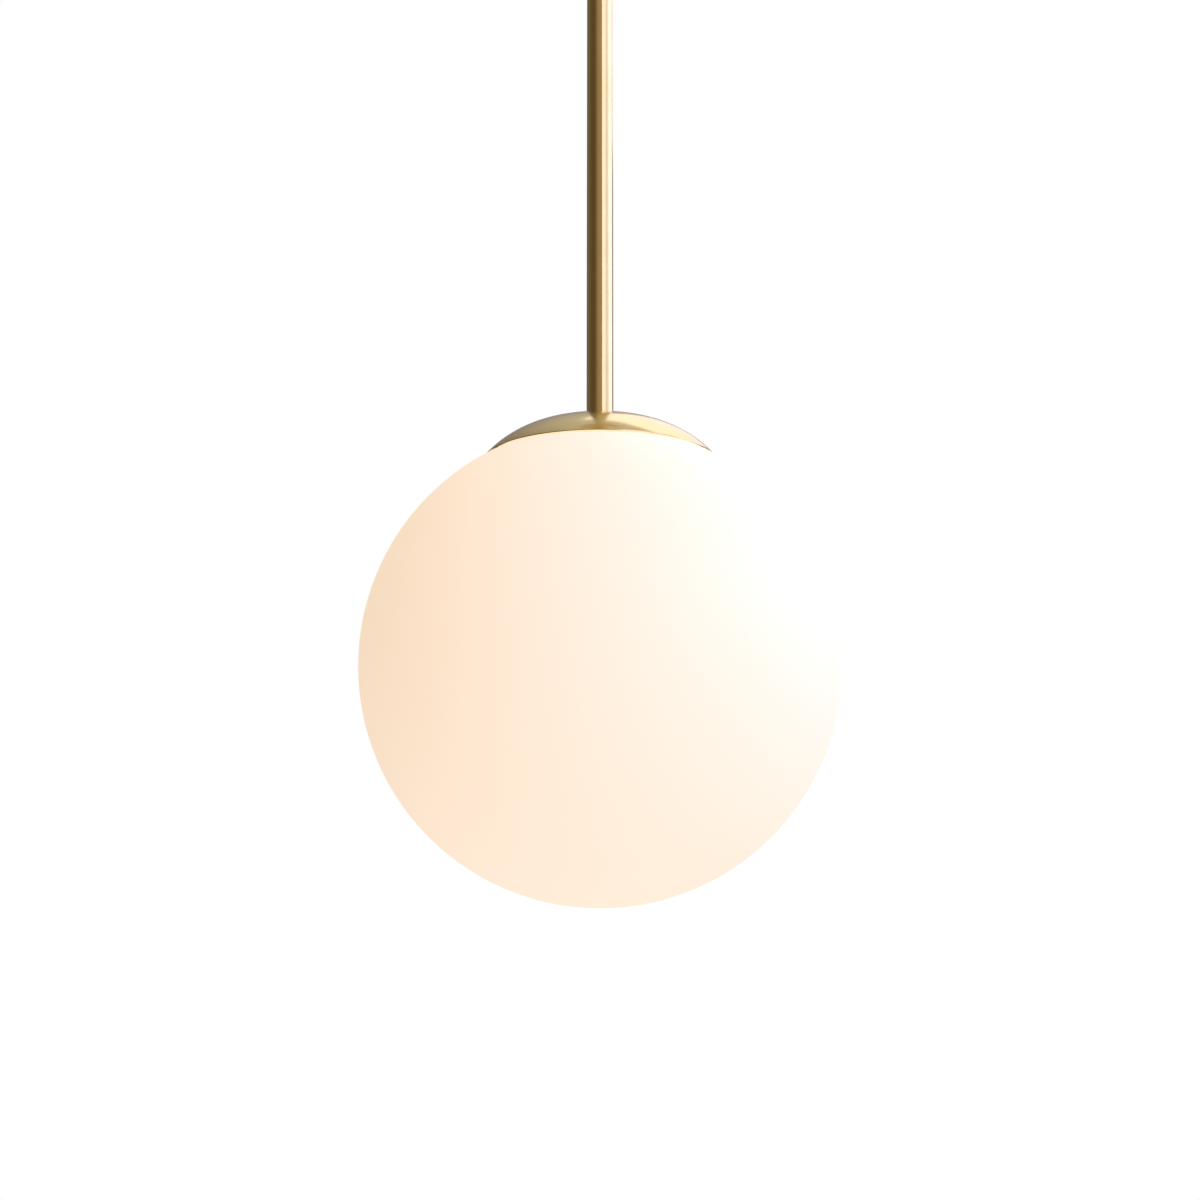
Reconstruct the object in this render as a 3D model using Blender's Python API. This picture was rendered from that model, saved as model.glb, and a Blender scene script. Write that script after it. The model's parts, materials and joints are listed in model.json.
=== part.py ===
"""A globe pendant light: an opal glass globe under a shallow brass cap, on a straight brass stem.

The stem hangs from a turned swivel below a ceiling canopy. Three spring clips inside the globe hold it
up against the cap, and let it down when it is pulled. The lamp screws into a porcelain lampholder.

The origin is the centre of the ceiling plane, which the crossbar and the canopy's rim touch, and +Z is up.
All of the light is below it. Parts below the stem are measured from the globe's centre, at GLOBE_Z.
"""

import math

import bmesh
import bpy
from mathutils import Matrix, Vector

MM = 0.001
GAP = 0.3 * MM  # kept between pieces that touch
RUN_GAP = 0.35 * MM  # kept round a pin or a stud

# Driving sizes
GLOBE_R = 125 * MM
GLASS_WALL = 3 * MM
GLASS_HOLE_R = 47 * MM
CAP_R = 62.1 * MM
CAP_RISE = 22.5 * MM
CAP_RIM_Z = 109.0 * MM  # above the globe's centre
CAP_WALL = 1.2 * MM
CAP_FULLNESS = 2.8  # how far out the cap stays nearly flat
CAP_EDGE_DROP = 0.9  # how softly it turns down at the rim
STEM_R = 7.15 * MM
STEM_BORE_R = 6.0 * MM
STEM_LENGTH = 305 * MM
CANOPY_R = 60 * MM
CANOPY_DEPTH = 24 * MM
CANOPY_WALL = 1.2 * MM
CANOPY_EDGE_R = 5 * MM
CROSSBAR_WALL = 2 * MM
STUD_X = 44 * MM
STUD_R = 2 * MM
NIPPLE_R = 4.85 * MM
NIPPLE_BORE_R = 3.4 * MM
NIPPLE_HOLE_R = NIPPLE_R + RUN_GAP
NUT_FLATS = 14 * MM  # of the nuts on the nipple
WASHER_R = 9 * MM
WASHER_WALL = 1 * MM
SCREW_R = 2 * MM  # of the swivel's two pivot screws
FLEX_R = 2.7 * MM
LEAD_R = 0.95 * MM

# Stations down the light's axis
SWIVEL_TOP_Z = -CANOPY_DEPTH - GAP
SPIGOT_TOP = -CANOPY_DEPTH + 10.5 * MM
PIVOT_Z = SWIVEL_TOP_Z - 19.7 * MM
SWIVEL_R = 11 * MM
TONGUE_R = 7 * MM
TONGUE_HALF = 5.6 * MM
COLLAR_TOP = SWIVEL_R + 0.6 * MM  # below the pivot, clear of the fork's ball end as the stem tilts
COLLAR_HEIGHT = 5.4 * MM
STEM_TOP_Z = PIVOT_Z - COLLAR_TOP - COLLAR_HEIGHT - GAP
STEM_END_Z = STEM_TOP_Z - STEM_LENGTH
CAP_TOP = CAP_RIM_Z + CAP_RISE
GLOBE_Z = STEM_END_Z - GAP - CAP_TOP

# Spring clips, in the plane of the axis, measured from the globe's centre
CLIP_COUNT = 3
CLIP_PIVOT_R = 24 * MM
CLIP_PIVOT_Z = 110 * MM
CLIP_PAD_X = 52 * MM
CLIP_PAD_Z = 106.55 * MM
CLIP_PAD_R = 2.6 * MM
CLIP_PIN_R = 1.3 * MM
CLIP_WIDTH = 10 * MM
PLATE_TOP = 120 * MM
PLATE_WALL = 1.5 * MM
PLATE_R = 38 * MM

# Edison screw of 27 mm: a rounded right-hand thread of 7 turns to the inch
THREAD_PITCH = 25.4 / 7 * MM
THREAD_DEPTH = 0.55 * MM  # from the mean radius to a crest
LAMP_THREAD_R = 12.55 * MM
HOLDER_THREAD_R = LAMP_THREAD_R + 0.4 * MM
LAMP_TIP = 94 * MM  # the lamp's contact, above the globe's centre
LAMP_LENGTH = 105 * MM
LAMP_BULB_R = 30 * MM
THREAD_STEPS = 18  # facets round a thread
THREAD_ROWS = 5  # rows of facets in a pitch

FINE, MEDIUM, COARSE, FEW = 40, 24, 16, 12  # facets round a turned piece


def material(name, colour, roughness, metallic=0.0):
    """A Principled material. The colour is an sRGB hex value."""
    made = bpy.data.materials.new(name)
    made.use_nodes = True
    shader = made.node_tree.nodes["Principled BSDF"]
    channels = [int(colour[i : i + 2], 16) / 255 for i in (0, 2, 4)]
    linear = [((c + 0.055) / 1.055) ** 2.4 if c > 0.04 else c / 12.92 for c in channels]
    shader.inputs["Base Color"].default_value = (*linear, 1)
    shader.inputs["Roughness"].default_value = roughness
    shader.inputs["Metallic"].default_value = metallic
    return made


def arc(centre, radius, start, end, count):
    """Points of an arc in an outline, from angle start to end in degrees, both ends included."""
    angles = [math.radians(start + (end - start) * i / count) for i in range(count + 1)]
    return [(centre[0] + radius * math.cos(a), centre[1] + radius * math.sin(a)) for a in angles]


def attach(made, parent, at):
    """Parents an object to a joint's empty and puts its origin at a point measured from the ceiling plane."""
    made.parent = parent
    made.location = Vector(at) - (Vector(parent["at"]) if parent else Vector())


def joint_axis(name, parent, at):
    """An empty on a joint's axis. What moves with the joint is parented to it."""
    empty = bpy.data.objects.new(name, None)
    bpy.context.scene.collection.objects.link(empty)
    attach(empty, parent, at)
    empty["at"] = list(at)
    return empty


def add_object(name, shape, made_of, parent, at):
    """Turns a bmesh into an object of the light, placed at a point measured from the ceiling plane."""
    bmesh.ops.recalc_face_normals(shape, faces=shape.faces)
    mesh = bpy.data.meshes.new(name)
    shape.to_mesh(mesh)
    shape.free()
    mesh.shade_smooth()
    mesh.set_sharp_from_angle(angle=math.radians(35))
    mesh.materials.append(made_of)
    made = bpy.data.objects.new(name, mesh)
    bpy.context.scene.collection.objects.link(made)
    attach(made, parent, at)
    return made


def turned(name, outline, steps, made_of, parent, at=(0, 0, 0), reshape=None):
    """A piece turned about its own Z axis from a closed section of (radius, height) points."""
    shape = bmesh.new()
    points = [shape.verts.new((radius, 0, height)) for radius, height in outline]
    edges = [shape.edges.new(pair) for pair in zip(points, points[1:] + points[:1])]
    bmesh.ops.spin(shape, geom=points + edges, cent=(0, 0, 0), axis=(0, 0, 1), dvec=(0, 0, 0),
                   angle=2 * math.pi, steps=steps, use_merge=True, use_duplicate=False)
    bmesh.ops.remove_doubles(shape, verts=shape.verts, dist=0.001 * MM)
    bmesh.ops.dissolve_degenerate(shape, dist=0.001 * MM, edges=shape.edges)
    if reshape:
        for vertex in shape.verts:
            vertex.co = reshape(vertex.co)
    return add_object(name, shape, made_of, parent, at)


def extruded(name, outline, start, end, made_of, facing="Y"):
    """A flat outline of (x, z) points given a thickness along Y, or of (y, z) points along X."""
    shape = bmesh.new()
    along_y = facing == "Y"
    points = [shape.verts.new((a, start, b) if along_y else (start, a, b)) for a, b in outline]
    face = shape.faces.new(points)
    sides = bmesh.ops.extrude_face_region(shape, geom=[face])["geom"]
    moved = [g for g in sides if isinstance(g, bmesh.types.BMVert)]
    shift = (0, end - start, 0) if along_y else (end - start, 0, 0)
    bmesh.ops.translate(shape, verts=moved, vec=shift)
    return add_object(name, shape, made_of, None, (0, 0, 0))


def block(name, size, made_of, parent=None, at=(0, 0, 0), bevel=0.0):
    """A rectangular piece centred on a point."""
    shape = bmesh.new()
    bmesh.ops.create_cube(shape, size=1)
    bmesh.ops.scale(shape, vec=size, verts=shape.verts)
    if bevel:
        bmesh.ops.bevel(shape, geom=shape.edges, offset=bevel, segments=1, profile=0.5, affect="EDGES",
                        material=-1)
    return add_object(name, shape, made_of, parent, at)


def rod(name, radius, length, steps, made_of, parent=None, at=(0, 0, 0), axis="Z"):
    """A plain cylinder centred on a point, along one axis."""
    shape = bmesh.new()
    bmesh.ops.create_cone(shape, cap_ends=True, segments=steps, radius1=radius, radius2=radius, depth=length)
    if axis != "Z":
        quarter = Matrix.Rotation(math.pi / 2, 3, {"X": "Y", "Y": "X"}[axis])
        bmesh.ops.rotate(shape, cent=(0, 0, 0), matrix=quarter, verts=shape.verts)
    return add_object(name, shape, made_of, parent, at)


def combine(target, helper, operation, at=(0, 0, 0)):
    """Cuts a helper out of the target, or joins it on, at a point of the target's own space."""
    helper.parent = target
    helper.location = at
    helper.hide_render = True
    helper.display_type = "WIRE"
    modifier = target.modifiers.new(helper.name, "BOOLEAN")
    modifier.operation = operation
    modifier.solver = "EXACT"
    modifier.object = helper


def drill(target, radius, length, at, axis="Z", steps=MEDIUM):
    """Drills a round hole of this length, centred on a point of the target's own space."""
    cutter = rod(target.name + "_drill", radius, length, steps, target.data.materials[0], axis=axis)
    combine(target, cutter, "DIFFERENCE", at)


def cut(target, size, at):
    """Cuts a rectangular pocket, centred on a point of the target's own space."""
    cutter = block(target.name + "_cutter", size, target.data.materials[0])
    combine(target, cutter, "DIFFERENCE", at)


def hex_nut(name, across_flats, height, bore_r, made_of, parent, at):
    """A hexagon nut with a plain bore, standing on the point."""
    middle = (at[0], at[1], at[2] + height / 2)
    nut = rod(name, across_flats / math.sqrt(3), height, 6, made_of, parent, middle)
    drill(nut, bore_r, 2 * height, (0, 0, 0))
    return nut


def washer(name, top, made_of, parent, at=(0, 0, 0)):
    """A flat ring on the nipple, below this height."""
    low = top - WASHER_WALL
    outline = [(NIPPLE_HOLE_R, top), (WASHER_R, top), (WASHER_R, low), (NIPPLE_HOLE_R, low)]
    return turned(name, outline, MEDIUM, made_of, parent, at)


def wire(name, points, radius, made_of, parent, at=(0, 0, 0), resolution=1):
    """A round wire along a route of points, with closed ends."""
    curve = bpy.data.curves.new(name, "CURVE")
    curve.dimensions = "3D"
    curve.bevel_depth = radius
    curve.bevel_resolution = resolution
    curve.use_fill_caps = True
    line = curve.splines.new("POLY")
    line.points.add(len(points) - 1)
    for point, place in zip(line.points, points):
        point.co = (*place, 1)
    curve.materials.append(made_of)
    made = bpy.data.objects.new(name, curve)
    bpy.context.scene.collection.objects.link(made)
    attach(made, parent, at)
    return made


def smooth_route(stops, steps):
    """Points along a Catmull-Rom curve through the stops."""
    ends = [2 * Vector(stops[0]) - Vector(stops[1]), 2 * Vector(stops[-1]) - Vector(stops[-2])]
    knots = [ends[0], *map(Vector, stops), ends[1]]
    route = []
    for a, b, c, d in zip(knots, knots[1:], knots[2:], knots[3:]):
        for i in range(steps):
            t = i / steps
            route.append(0.5 * (2 * b + (c - a) * t + (2 * a - 5 * b + 4 * c - d) * t**2
                                + (3 * b - a - 3 * c + d) * t**3))
    return [*route, knots[-2]]


def thread(mean_radius, wall_radius):
    """Bends a turned wall at mean_radius into a rounded right-hand thread. The other wall keeps its place."""
    def bend(point):
        radius = math.hypot(point.x, point.y)
        if abs(radius - mean_radius) > abs(radius - wall_radius):
            return point
        phase = 2 * math.pi * point.z / THREAD_PITCH - math.atan2(point.y, point.x)
        grown = (radius + THREAD_DEPTH * math.cos(phase)) / radius
        return Vector((point.x * grown, point.y * grown, point.z))
    return bend


def threaded_sleeve(name, mean_radius, wall_radius, bottom, top, made_of, parent, at):
    """A sleeve with a rounded thread on one wall and a plain wall on the other."""
    rows = round((top - bottom) / THREAD_PITCH * THREAD_ROWS)
    threaded = [(mean_radius, bottom + (top - bottom) * i / rows) for i in range(rows + 1)]
    plain = [(wall_radius, top), (wall_radius, bottom)]
    return turned(name, threaded + plain, THREAD_STEPS, made_of, parent, at, thread(mean_radius, wall_radius))


def cap_height(radius):
    """The cap's outer surface above the globe's centre: nearly flat in the middle and steep at the rim."""
    return CAP_RIM_Z + CAP_RISE * (1 - (radius / CAP_R) ** CAP_FULLNESS) ** CAP_EDGE_DROP


def cap_under(radius, depth):
    """The surface this far below the cap's outer one, measured square to it."""
    step = 0.01 * MM
    slope = (cap_height(radius) - cap_height(radius + step)) / step
    return cap_height(radius) - depth * math.hypot(1, slope)


def sphere_height(radius, sphere_r):
    """The top of a sphere above its centre, at this distance from its axis."""
    return math.sqrt(sphere_r**2 - radius**2)


def make_materials():
    return {
        "brass": material("brushed_brass", "C9A868", 0.3, 1.0),
        "opal": material("opal_glass", "FBF1E4", 0.35),
        "steel": material("zinc_plated_steel", "B9BCC0", 0.35, 1.0),
        "spring": material("spring_steel", "8D9196", 0.3, 1.0),
        "porcelain": material("porcelain", "F1EEE6", 0.2),
        "contact": material("contact_brass", "D2B05C", 0.35, 1.0),
        "silicone": material("silicone", "E8E4DA", 0.6),
        "nylon": material("white_nylon", "ECEAE4", 0.5),
        "flex": material("flex_sheath", "D8D4C8", 0.5),
        "brown": material("brown_insulation", "6B3F22", 0.45),
        "blue": material("blue_insulation", "2A5FA8", 0.45),
        "green": material("green_insulation", "5C9A3A", 0.45),
        "earth": material("green_steel", "3E8F4A", 0.35, 1.0),
        "lamp_glass": material("frosted_lamp_glass", "F6F3EA", 0.4),
        "black_glass": material("black_glass", "1B1A1C", 0.15),
        "nickel": material("nickel_plated_brass", "C4C1B8", 0.25, 1.0),
    }


def make_crossbar(m, canopy):
    """The steel bar that is screwed to the ceiling box, with a tab for the terminal block."""
    length, width = 104 * MM, 18 * MM
    bar = block("crossbar", (length, width, CROSSBAR_WALL), m["steel"], canopy, (0, 0, -CROSSBAR_WALL / 2))
    tab_width, tab_length, tab_y = 12 * MM, 16 * MM, 14 * MM
    tab = block("crossbar_tab", (tab_width, tab_length, CROSSBAR_WALL), m["steel"])
    combine(bar, tab, "UNION", (0, tab_y, 0))
    through = 3 * CROSSBAR_WALL
    slot_x, slot_half, slot_r = 27 * MM, 6 * MM, 2.5 * MM
    for side in (-1, 1):
        cut(bar, (2 * slot_half, 2 * slot_r, through), (side * slot_x, 0, 0))
        for end in (-1, 1):
            drill(bar, slot_r, through, (side * slot_x + end * slot_half, 0, 0), steps=COARSE)
        drill(bar, STUD_R + RUN_GAP, through, (side * STUD_X, 0, 0), steps=COARSE)


def make_canopy(m, canopy):
    """The round pan that hides the ceiling box, its two studs, their lock nuts and the ball nuts below."""
    inner_r, floor = CANOPY_R - CANOPY_WALL, -CANOPY_DEPTH + CANOPY_WALL
    outer = arc((CANOPY_R - CANOPY_EDGE_R, -CANOPY_DEPTH + CANOPY_EDGE_R), CANOPY_EDGE_R, -90, 0, 5)
    bend = CANOPY_EDGE_R - CANOPY_WALL
    inner = arc((inner_r - bend, floor + bend), bend, 0, -90, 5)
    outline = [(NIPPLE_HOLE_R, -CANOPY_DEPTH), *outer, (CANOPY_R, 0), (inner_r, 0), *inner,
               (NIPPLE_HOLE_R, floor)]
    pan = turned("canopy_pan", outline, FINE, m["brass"], canopy)
    ball_r, ball_z, ball_neck_r = 5.6 * MM, -CANOPY_DEPTH - 7.2 * MM, 3.9 * MM
    stud_end = ball_z - 2 * MM
    bore, bore_end = STUD_R + RUN_GAP, stud_end - 2 * GAP
    top = -CANOPY_DEPTH - GAP
    ball = [(bore, top), (bore, bore_end), (0, bore_end), *arc((0, ball_z), ball_r, -90, 50, 7),
            (ball_neck_r, top)]
    nut_flats, nut_height = 7 * MM, 3 * MM
    nut_low = -CROSSBAR_WALL - GAP - nut_height
    for side, word in ((-1, "left"), (1, "right")):
        x = side * STUD_X
        drill(pan, bore, 6 * MM, (x, 0, -CANOPY_DEPTH), steps=COARSE)
        middle = (x, 0, (stud_end - GAP) / 2)
        rod(f"canopy_stud_{word}", STUD_R, -stud_end - GAP, FEW, m["steel"], canopy, middle)
        hex_nut(f"stud_nut_{word}", nut_flats, nut_height, bore, m["steel"], canopy, (x, 0, nut_low))
        turned(f"ball_nut_{word}", ball, COARSE, m["brass"], canopy, (x, 0, 0))


def make_wiring(m, canopy):
    """The terminal block under the crossbar's tab, its screws, the earth screw and the three leads."""
    width, length, depth = 27 * MM, 15 * MM, 12 * MM
    top = -CROSSBAR_WALL - GAP
    y, z = 20 * MM, top - depth / 2
    terminal = block("terminal_block", (width, length, depth), m["nylon"], canopy, (0, y, z), bevel=0.8 * MM)
    pitch, entry_drop, entry_r = 8.5 * MM, 1 * MM, 2 * MM
    screw_r, screw_length, screw_hole_r, screw_depth = 1.5 * MM, 3 * MM, 1.9 * MM, 1.7 * MM
    ways = (("live", "brown", -0.75 * MM), ("earth", "green", 1.45 * MM), ("neutral", "blue", -0.75 * MM))
    for i, (word, colour, start_y) in enumerate(ways):
        across = i - 1
        x = across * pitch
        drill(terminal, entry_r, 40 * MM, (x, 0, -entry_drop), "Y", FEW)
        drill(terminal, screw_hole_r, depth, (x, 0, -depth / 2), "Z", FEW)
        rod(f"terminal_screw_{word}", screw_r, screw_length, 10, m["contact"], canopy,
            (x, y, z - depth / 2 + screw_depth))
        start_x, enters_y = across * 1.3 * MM, y - length / 2 + 3 * MM
        stops = [(start_x, start_y, PIVOT_Z + TONGUE_R + 2.6 * MM), (start_x, start_y, SPIGOT_TOP + 1 * MM),
                 (start_x * 2.4, 4.6 * MM, SPIGOT_TOP + 4.4 * MM), (x * 0.8, 9.0 * MM, z - entry_drop),
                 (x, enters_y, z - entry_drop)]
        wire(f"lead_{word}", smooth_route(stops, 4), LEAD_R, m[colour], canopy)
    head_r, crown_r, head_low = 3.6 * MM, 2.8 * MM, top - 2.4 * MM
    head = [(0, top), (head_r, top), (head_r, top - 1.8 * MM), (crown_r, head_low), (0, head_low)]
    turned("earth_screw", head, FEW, m["earth"], canopy, (-13 * MM, 0, 0))


def make_swivel(m, fork, stem):
    """The turned fork that hangs from the canopy, with its washer, nut and two pivot screws, and the tongue.

    The tongue tilts between the fork's cheeks on the two screws. They stop short of the bore for the flex.
    """
    pivot = (0, 0, PIVOT_Z)
    shoulder, spigot = SWIVEL_TOP_Z - PIVOT_Z, SPIGOT_TOP - PIVOT_Z
    chamfer, solid_to = 1 * MM, 4 * MM
    outline = [*arc((0, 0), SWIVEL_R, -90, 0, 6), (SWIVEL_R, shoulder - chamfer),
               (SWIVEL_R - chamfer, shoulder), (NIPPLE_R, shoulder), (NIPPLE_R, spigot),
               (NIPPLE_BORE_R, spigot), (NIPPLE_BORE_R, solid_to), (0, solid_to)]
    body = turned("swivel_fork", outline, MEDIUM, m["brass"], fork, pivot)
    slot_top = TONGUE_R + 1.6 * MM
    slot_size = (2 * (TONGUE_HALF + GAP), 3 * SWIVEL_R, 2 * SWIVEL_R + slot_top)
    cut(body, slot_size, (0, 0, slot_top / 2 - SWIVEL_R))
    drill(body, SCREW_R + RUN_GAP, 4 * SWIVEL_R, (0, 0, 0), "X", COARSE)
    tip = NIPPLE_BORE_R + 0.4 * MM
    head_r, head_in, head_out = 3.2 * MM, 8 * MM, 9.7 * MM
    sunk = 6 * MM
    outline = [(0, tip), (SCREW_R, tip), (SCREW_R, head_in), (head_r, head_in), (head_r, head_out),
               (0, head_out)]
    for side, word in ((-1, "left"), (1, "right")):
        drill(body, head_r + RUN_GAP, sunk, (side * (head_in - GAP + sunk / 2), 0, 0), "X", COARSE)
        screw = turned(f"swivel_screw_{word}", outline, COARSE, m["brass"], fork, pivot)
        cut(screw, (1 * MM, 10 * MM, 1.6 * MM), (0, 0, head_out))
        screw.rotation_euler = (0, side * math.pi / 2, 0)

    floor = -CANOPY_DEPTH + CANOPY_WALL
    washer("swivel_washer", floor + GAP + WASHER_WALL, m["steel"], fork)
    hex_nut("swivel_nut", NUT_FLATS, 3.5 * MM, NIPPLE_HOLE_R, m["steel"], fork,
            (0, 0, floor + 2 * GAP + WASHER_WALL))

    collar_r, edge = STEM_R + 1.35 * MM, 0.8 * MM
    low = -COLLAR_TOP - COLLAR_HEIGHT
    peg_low = low - 12 * MM
    collar = [(0, -COLLAR_TOP), (collar_r - edge, -COLLAR_TOP), (collar_r, -COLLAR_TOP - edge),
              (collar_r, low + edge), (collar_r - edge, low), (NIPPLE_R, low), (NIPPLE_R, peg_low),
              (0, peg_low)]
    tongue = turned("swivel_tongue", collar, MEDIUM, m["brass"], stem, pivot)
    foot = -COLLAR_TOP - 1 * MM
    outline = [(-TONGUE_R, foot), (TONGUE_R, foot), *arc((0, 0), TONGUE_R, 0, 180, 10)]
    combine(tongue, extruded("tongue_blade", outline, -TONGUE_HALF, TONGUE_HALF, m["brass"], "X"), "UNION")
    drill(tongue, SCREW_R + RUN_GAP, 4 * SWIVEL_R, (0, 0, 0), "X", COARSE)
    drill(tongue, NIPPLE_BORE_R, 80 * MM, (0, 0, 0))


def make_stem(m, stem):
    """The stem tube with a solid seat at each end, the nipple below it, and the flex inside."""
    seat, chamfer, run_out = 18 * MM, 0.3 * MM, 1 * MM
    end = -STEM_LENGTH
    outline = [(NIPPLE_HOLE_R, end), (STEM_R - chamfer, end), (STEM_R, end + chamfer), (STEM_R, -chamfer),
               (STEM_R - chamfer, 0), (NIPPLE_HOLE_R, 0), (NIPPLE_HOLE_R, -seat),
               (STEM_BORE_R, -seat - run_out), (STEM_BORE_R, end + seat + run_out),
               (NIPPLE_HOLE_R, end + seat)]
    turned("stem_tube", outline, MEDIUM, m["brass"], stem, (0, 0, STEM_TOP_Z))
    low, high = 109 * MM, CAP_TOP + 16 * MM
    outline = [(NIPPLE_BORE_R, low), (NIPPLE_R, low), (NIPPLE_R, high), (NIPPLE_BORE_R, high)]
    turned("stem_nipple", outline, MEDIUM, m["steel"], stem, (0, 0, GLOBE_Z))
    flex_top = PIVOT_Z + TONGUE_R - 1 * MM
    flex_end = GLOBE_Z + low + 1 * MM
    lengths = 10
    route = [(0, 0, flex_top + (flex_end - flex_top) * i / lengths) for i in range(lengths + 1)]
    wire("stem_flex", route, FLEX_R, m["flex"], stem, resolution=2)


def make_cap(m, stem):
    """The spun cap on the globe, with the nut that holds it to the stem and the gasket under its rim."""
    at = (0, 0, GLOBE_Z)
    stations = (9, 22, 32, 41, 48.5, 54, 57.5)
    outer = [(r * MM, cap_height(r * MM)) for r in (*stations, 60, 61.4)]
    inner = [(r * MM, cap_under(r * MM, CAP_WALL)) for r in stations]
    rim = [(CAP_R, CAP_RIM_Z), (CAP_R - 1.1 * MM, CAP_RIM_Z + 0.75 * MM)]
    top, under = outer[0][1], inner[0][1]
    outline = [(NIPPLE_HOLE_R, top), *outer, *rim, *inner[::-1], (NIPPLE_HOLE_R, under)]
    turned("cap_dome", outline, FINE, m["brass"], stem, at)
    washer("cap_washer", under - GAP, m["steel"], stem, at)
    height = 4 * MM
    nut_low = under - 2 * GAP - WASHER_WALL - height
    hex_nut("cap_nut", NUT_FLATS, height, NIPPLE_HOLE_R, m["steel"], stem, (0, 0, GLOBE_Z + nut_low))
    seal = (49 * MM, 52.5 * MM, 56 * MM)
    upper = [(r, cap_under(r, CAP_WALL + 1.5 * GAP)) for r in seal]
    lower = [(r, sphere_height(r, GLOBE_R + GAP)) for r in seal]
    turned("glass_gasket", [*upper, *lower[::-1]], FINE, m["silicone"], stem, at)


def make_holder_plate(m, stem):
    """The steel plate under the cap, with a pair of ears for each spring clip, and its nut."""
    low = PLATE_TOP - PLATE_WALL
    outline = [(NIPPLE_HOLE_R, low), (PLATE_R, low), (PLATE_R, PLATE_TOP), (NIPPLE_HOLE_R, PLATE_TOP)]
    plate = turned("holder_plate", outline, FINE, m["steel"], stem, (0, 0, GLOBE_Z))
    ear_r, ear_wall, ear_in = 3.6 * MM, 1.2 * MM, CLIP_WIDTH / 2 + RUN_GAP
    ear_top = low + 0.5 * MM
    outline = [(CLIP_PIVOT_R - ear_r, ear_top), *arc((CLIP_PIVOT_R, CLIP_PIVOT_Z), ear_r, 180, 360, 6),
               (CLIP_PIVOT_R + ear_r, ear_top)]
    for i in range(CLIP_COUNT):
        turn = Matrix.Rotation(2 * math.pi * i / CLIP_COUNT, 4, "Z")
        for side in (-1, 1):
            ear = extruded(f"ear_{i}_{side}", outline, side * ear_in, side * (ear_in + ear_wall), m["steel"])
            ear.data.transform(turn)
            combine(plate, ear, "UNION")
        bore = rod(f"pin_bore_{i}", CLIP_PIN_R + GAP, 30 * MM, FEW, m["steel"], axis="Y")
        bore.data.transform(turn @ Matrix.Translation((CLIP_PIVOT_R, 0, CLIP_PIVOT_Z)))
        combine(plate, bore, "DIFFERENCE")
    nut_low = (0, 0, GLOBE_Z + PLATE_TOP + GAP)
    hex_nut("plate_nut", NUT_FLATS, 3.6 * MM, NIPPLE_HOLE_R, m["steel"], stem, nut_low)


def coil_route(radius, wire_r, turns, width):
    """A torsion spring round its pin along Y: one leg up to the plate, the coil, and a leg along the arm."""
    count = turns * 10
    sweep = 2 * math.pi * turns + math.radians(90)
    route = [(radius, -width / 2, 5.4 * MM)]
    for i in range(count + 1):
        angle = sweep * i / count
        route.append((radius * math.cos(angle), -width / 2 + width * i / count, radius * math.sin(angle)))
    route.append((radius * 0.2, width / 2 + wire_r, radius + 0.1 * MM))
    return route


def make_clips(m, stem, axes):
    """The three spring clips: an arm that turns on a pin, a silicone pad at its tip and a torsion spring."""
    reach = Vector((CLIP_PAD_X - CLIP_PIVOT_R, 0, CLIP_PAD_Z - CLIP_PIVOT_Z))
    slope = math.atan2(reach.z, reach.x)
    thick, eye_r, lug, lug_end = 1.6 * MM, 3 * MM, 1.5 * MM, 7 * MM
    leaf_start, leaf_length = 4.6 * MM, reach.length - 8.5 * MM
    neck_size = Vector((6 * MM, CLIP_WIDTH - 5 * MM, thick * 0.8))
    slot_size = neck_size + Vector((0, 2 * GAP, 2 * GAP))
    spring_r, spring_wire_r = 2.3 * MM, 0.45 * MM
    for i, axis in enumerate(axes):
        number = i + 1
        turn = Matrix.Rotation(2 * math.pi * i / CLIP_COUNT, 4, "Z")
        at = tuple(axis["at"])
        tilt = turn @ Matrix.Rotation(-slope, 4, "Y")
        arm = block(f"clip_arm_{number}", (leaf_length, CLIP_WIDTH, thick), m["spring"], axis, at)
        arm.data.transform(tilt @ Matrix.Translation((leaf_length / 2 + leaf_start, 0, 0)))
        for side in (-1, 1):
            y = side * (CLIP_WIDTH / 2 - lug / 2)
            outline = [*arc((0, 0), eye_r, 60, 300, 10), (lug_end, -thick * 0.7), (lug_end, thick * 0.7)]
            ear = extruded(f"arm_lug_{number}_{side}", outline, y - lug / 2, y + lug / 2, m["spring"])
            ear.data.transform(tilt)
            combine(arm, ear, "UNION")
        bore = rod(f"arm_bore_{number}", CLIP_PIN_R + RUN_GAP, 30 * MM, FEW, m["spring"], axis="Y")
        bore.data.transform(turn)
        combine(arm, bore, "DIFFERENCE")
        neck = block(f"arm_neck_{number}", neck_size, m["spring"])
        neck.data.transform(tilt @ Matrix.Translation((reach.length - neck_size.x / 2, 0, 0)))
        combine(arm, neck, "UNION")
        pad = rod(f"clip_pad_{number}", CLIP_PAD_R, CLIP_WIDTH, 14, m["silicone"], axis, at, "Y")
        pad.data.transform(tilt @ Matrix.Translation((reach.length, 0, 0)))
        slot = block(f"pad_slot_{number}", slot_size, m["silicone"])
        slot.data.transform(tilt @ Matrix.Translation((reach.length - slot_size.x / 2 + GAP, 0, 0)))
        combine(pad, slot, "DIFFERENCE")
        pin = rod(f"clip_pin_{number}", CLIP_PIN_R, 14.6 * MM, FEW, m["steel"], stem, at, "Y")
        pin.data.transform(turn)
        route = coil_route(spring_r, spring_wire_r, 3, 4.4 * MM)
        wire(f"clip_spring_{number}", [turn @ Vector(p) for p in route], spring_wire_r, m["spring"], stem, at,
             resolution=0)


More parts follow.
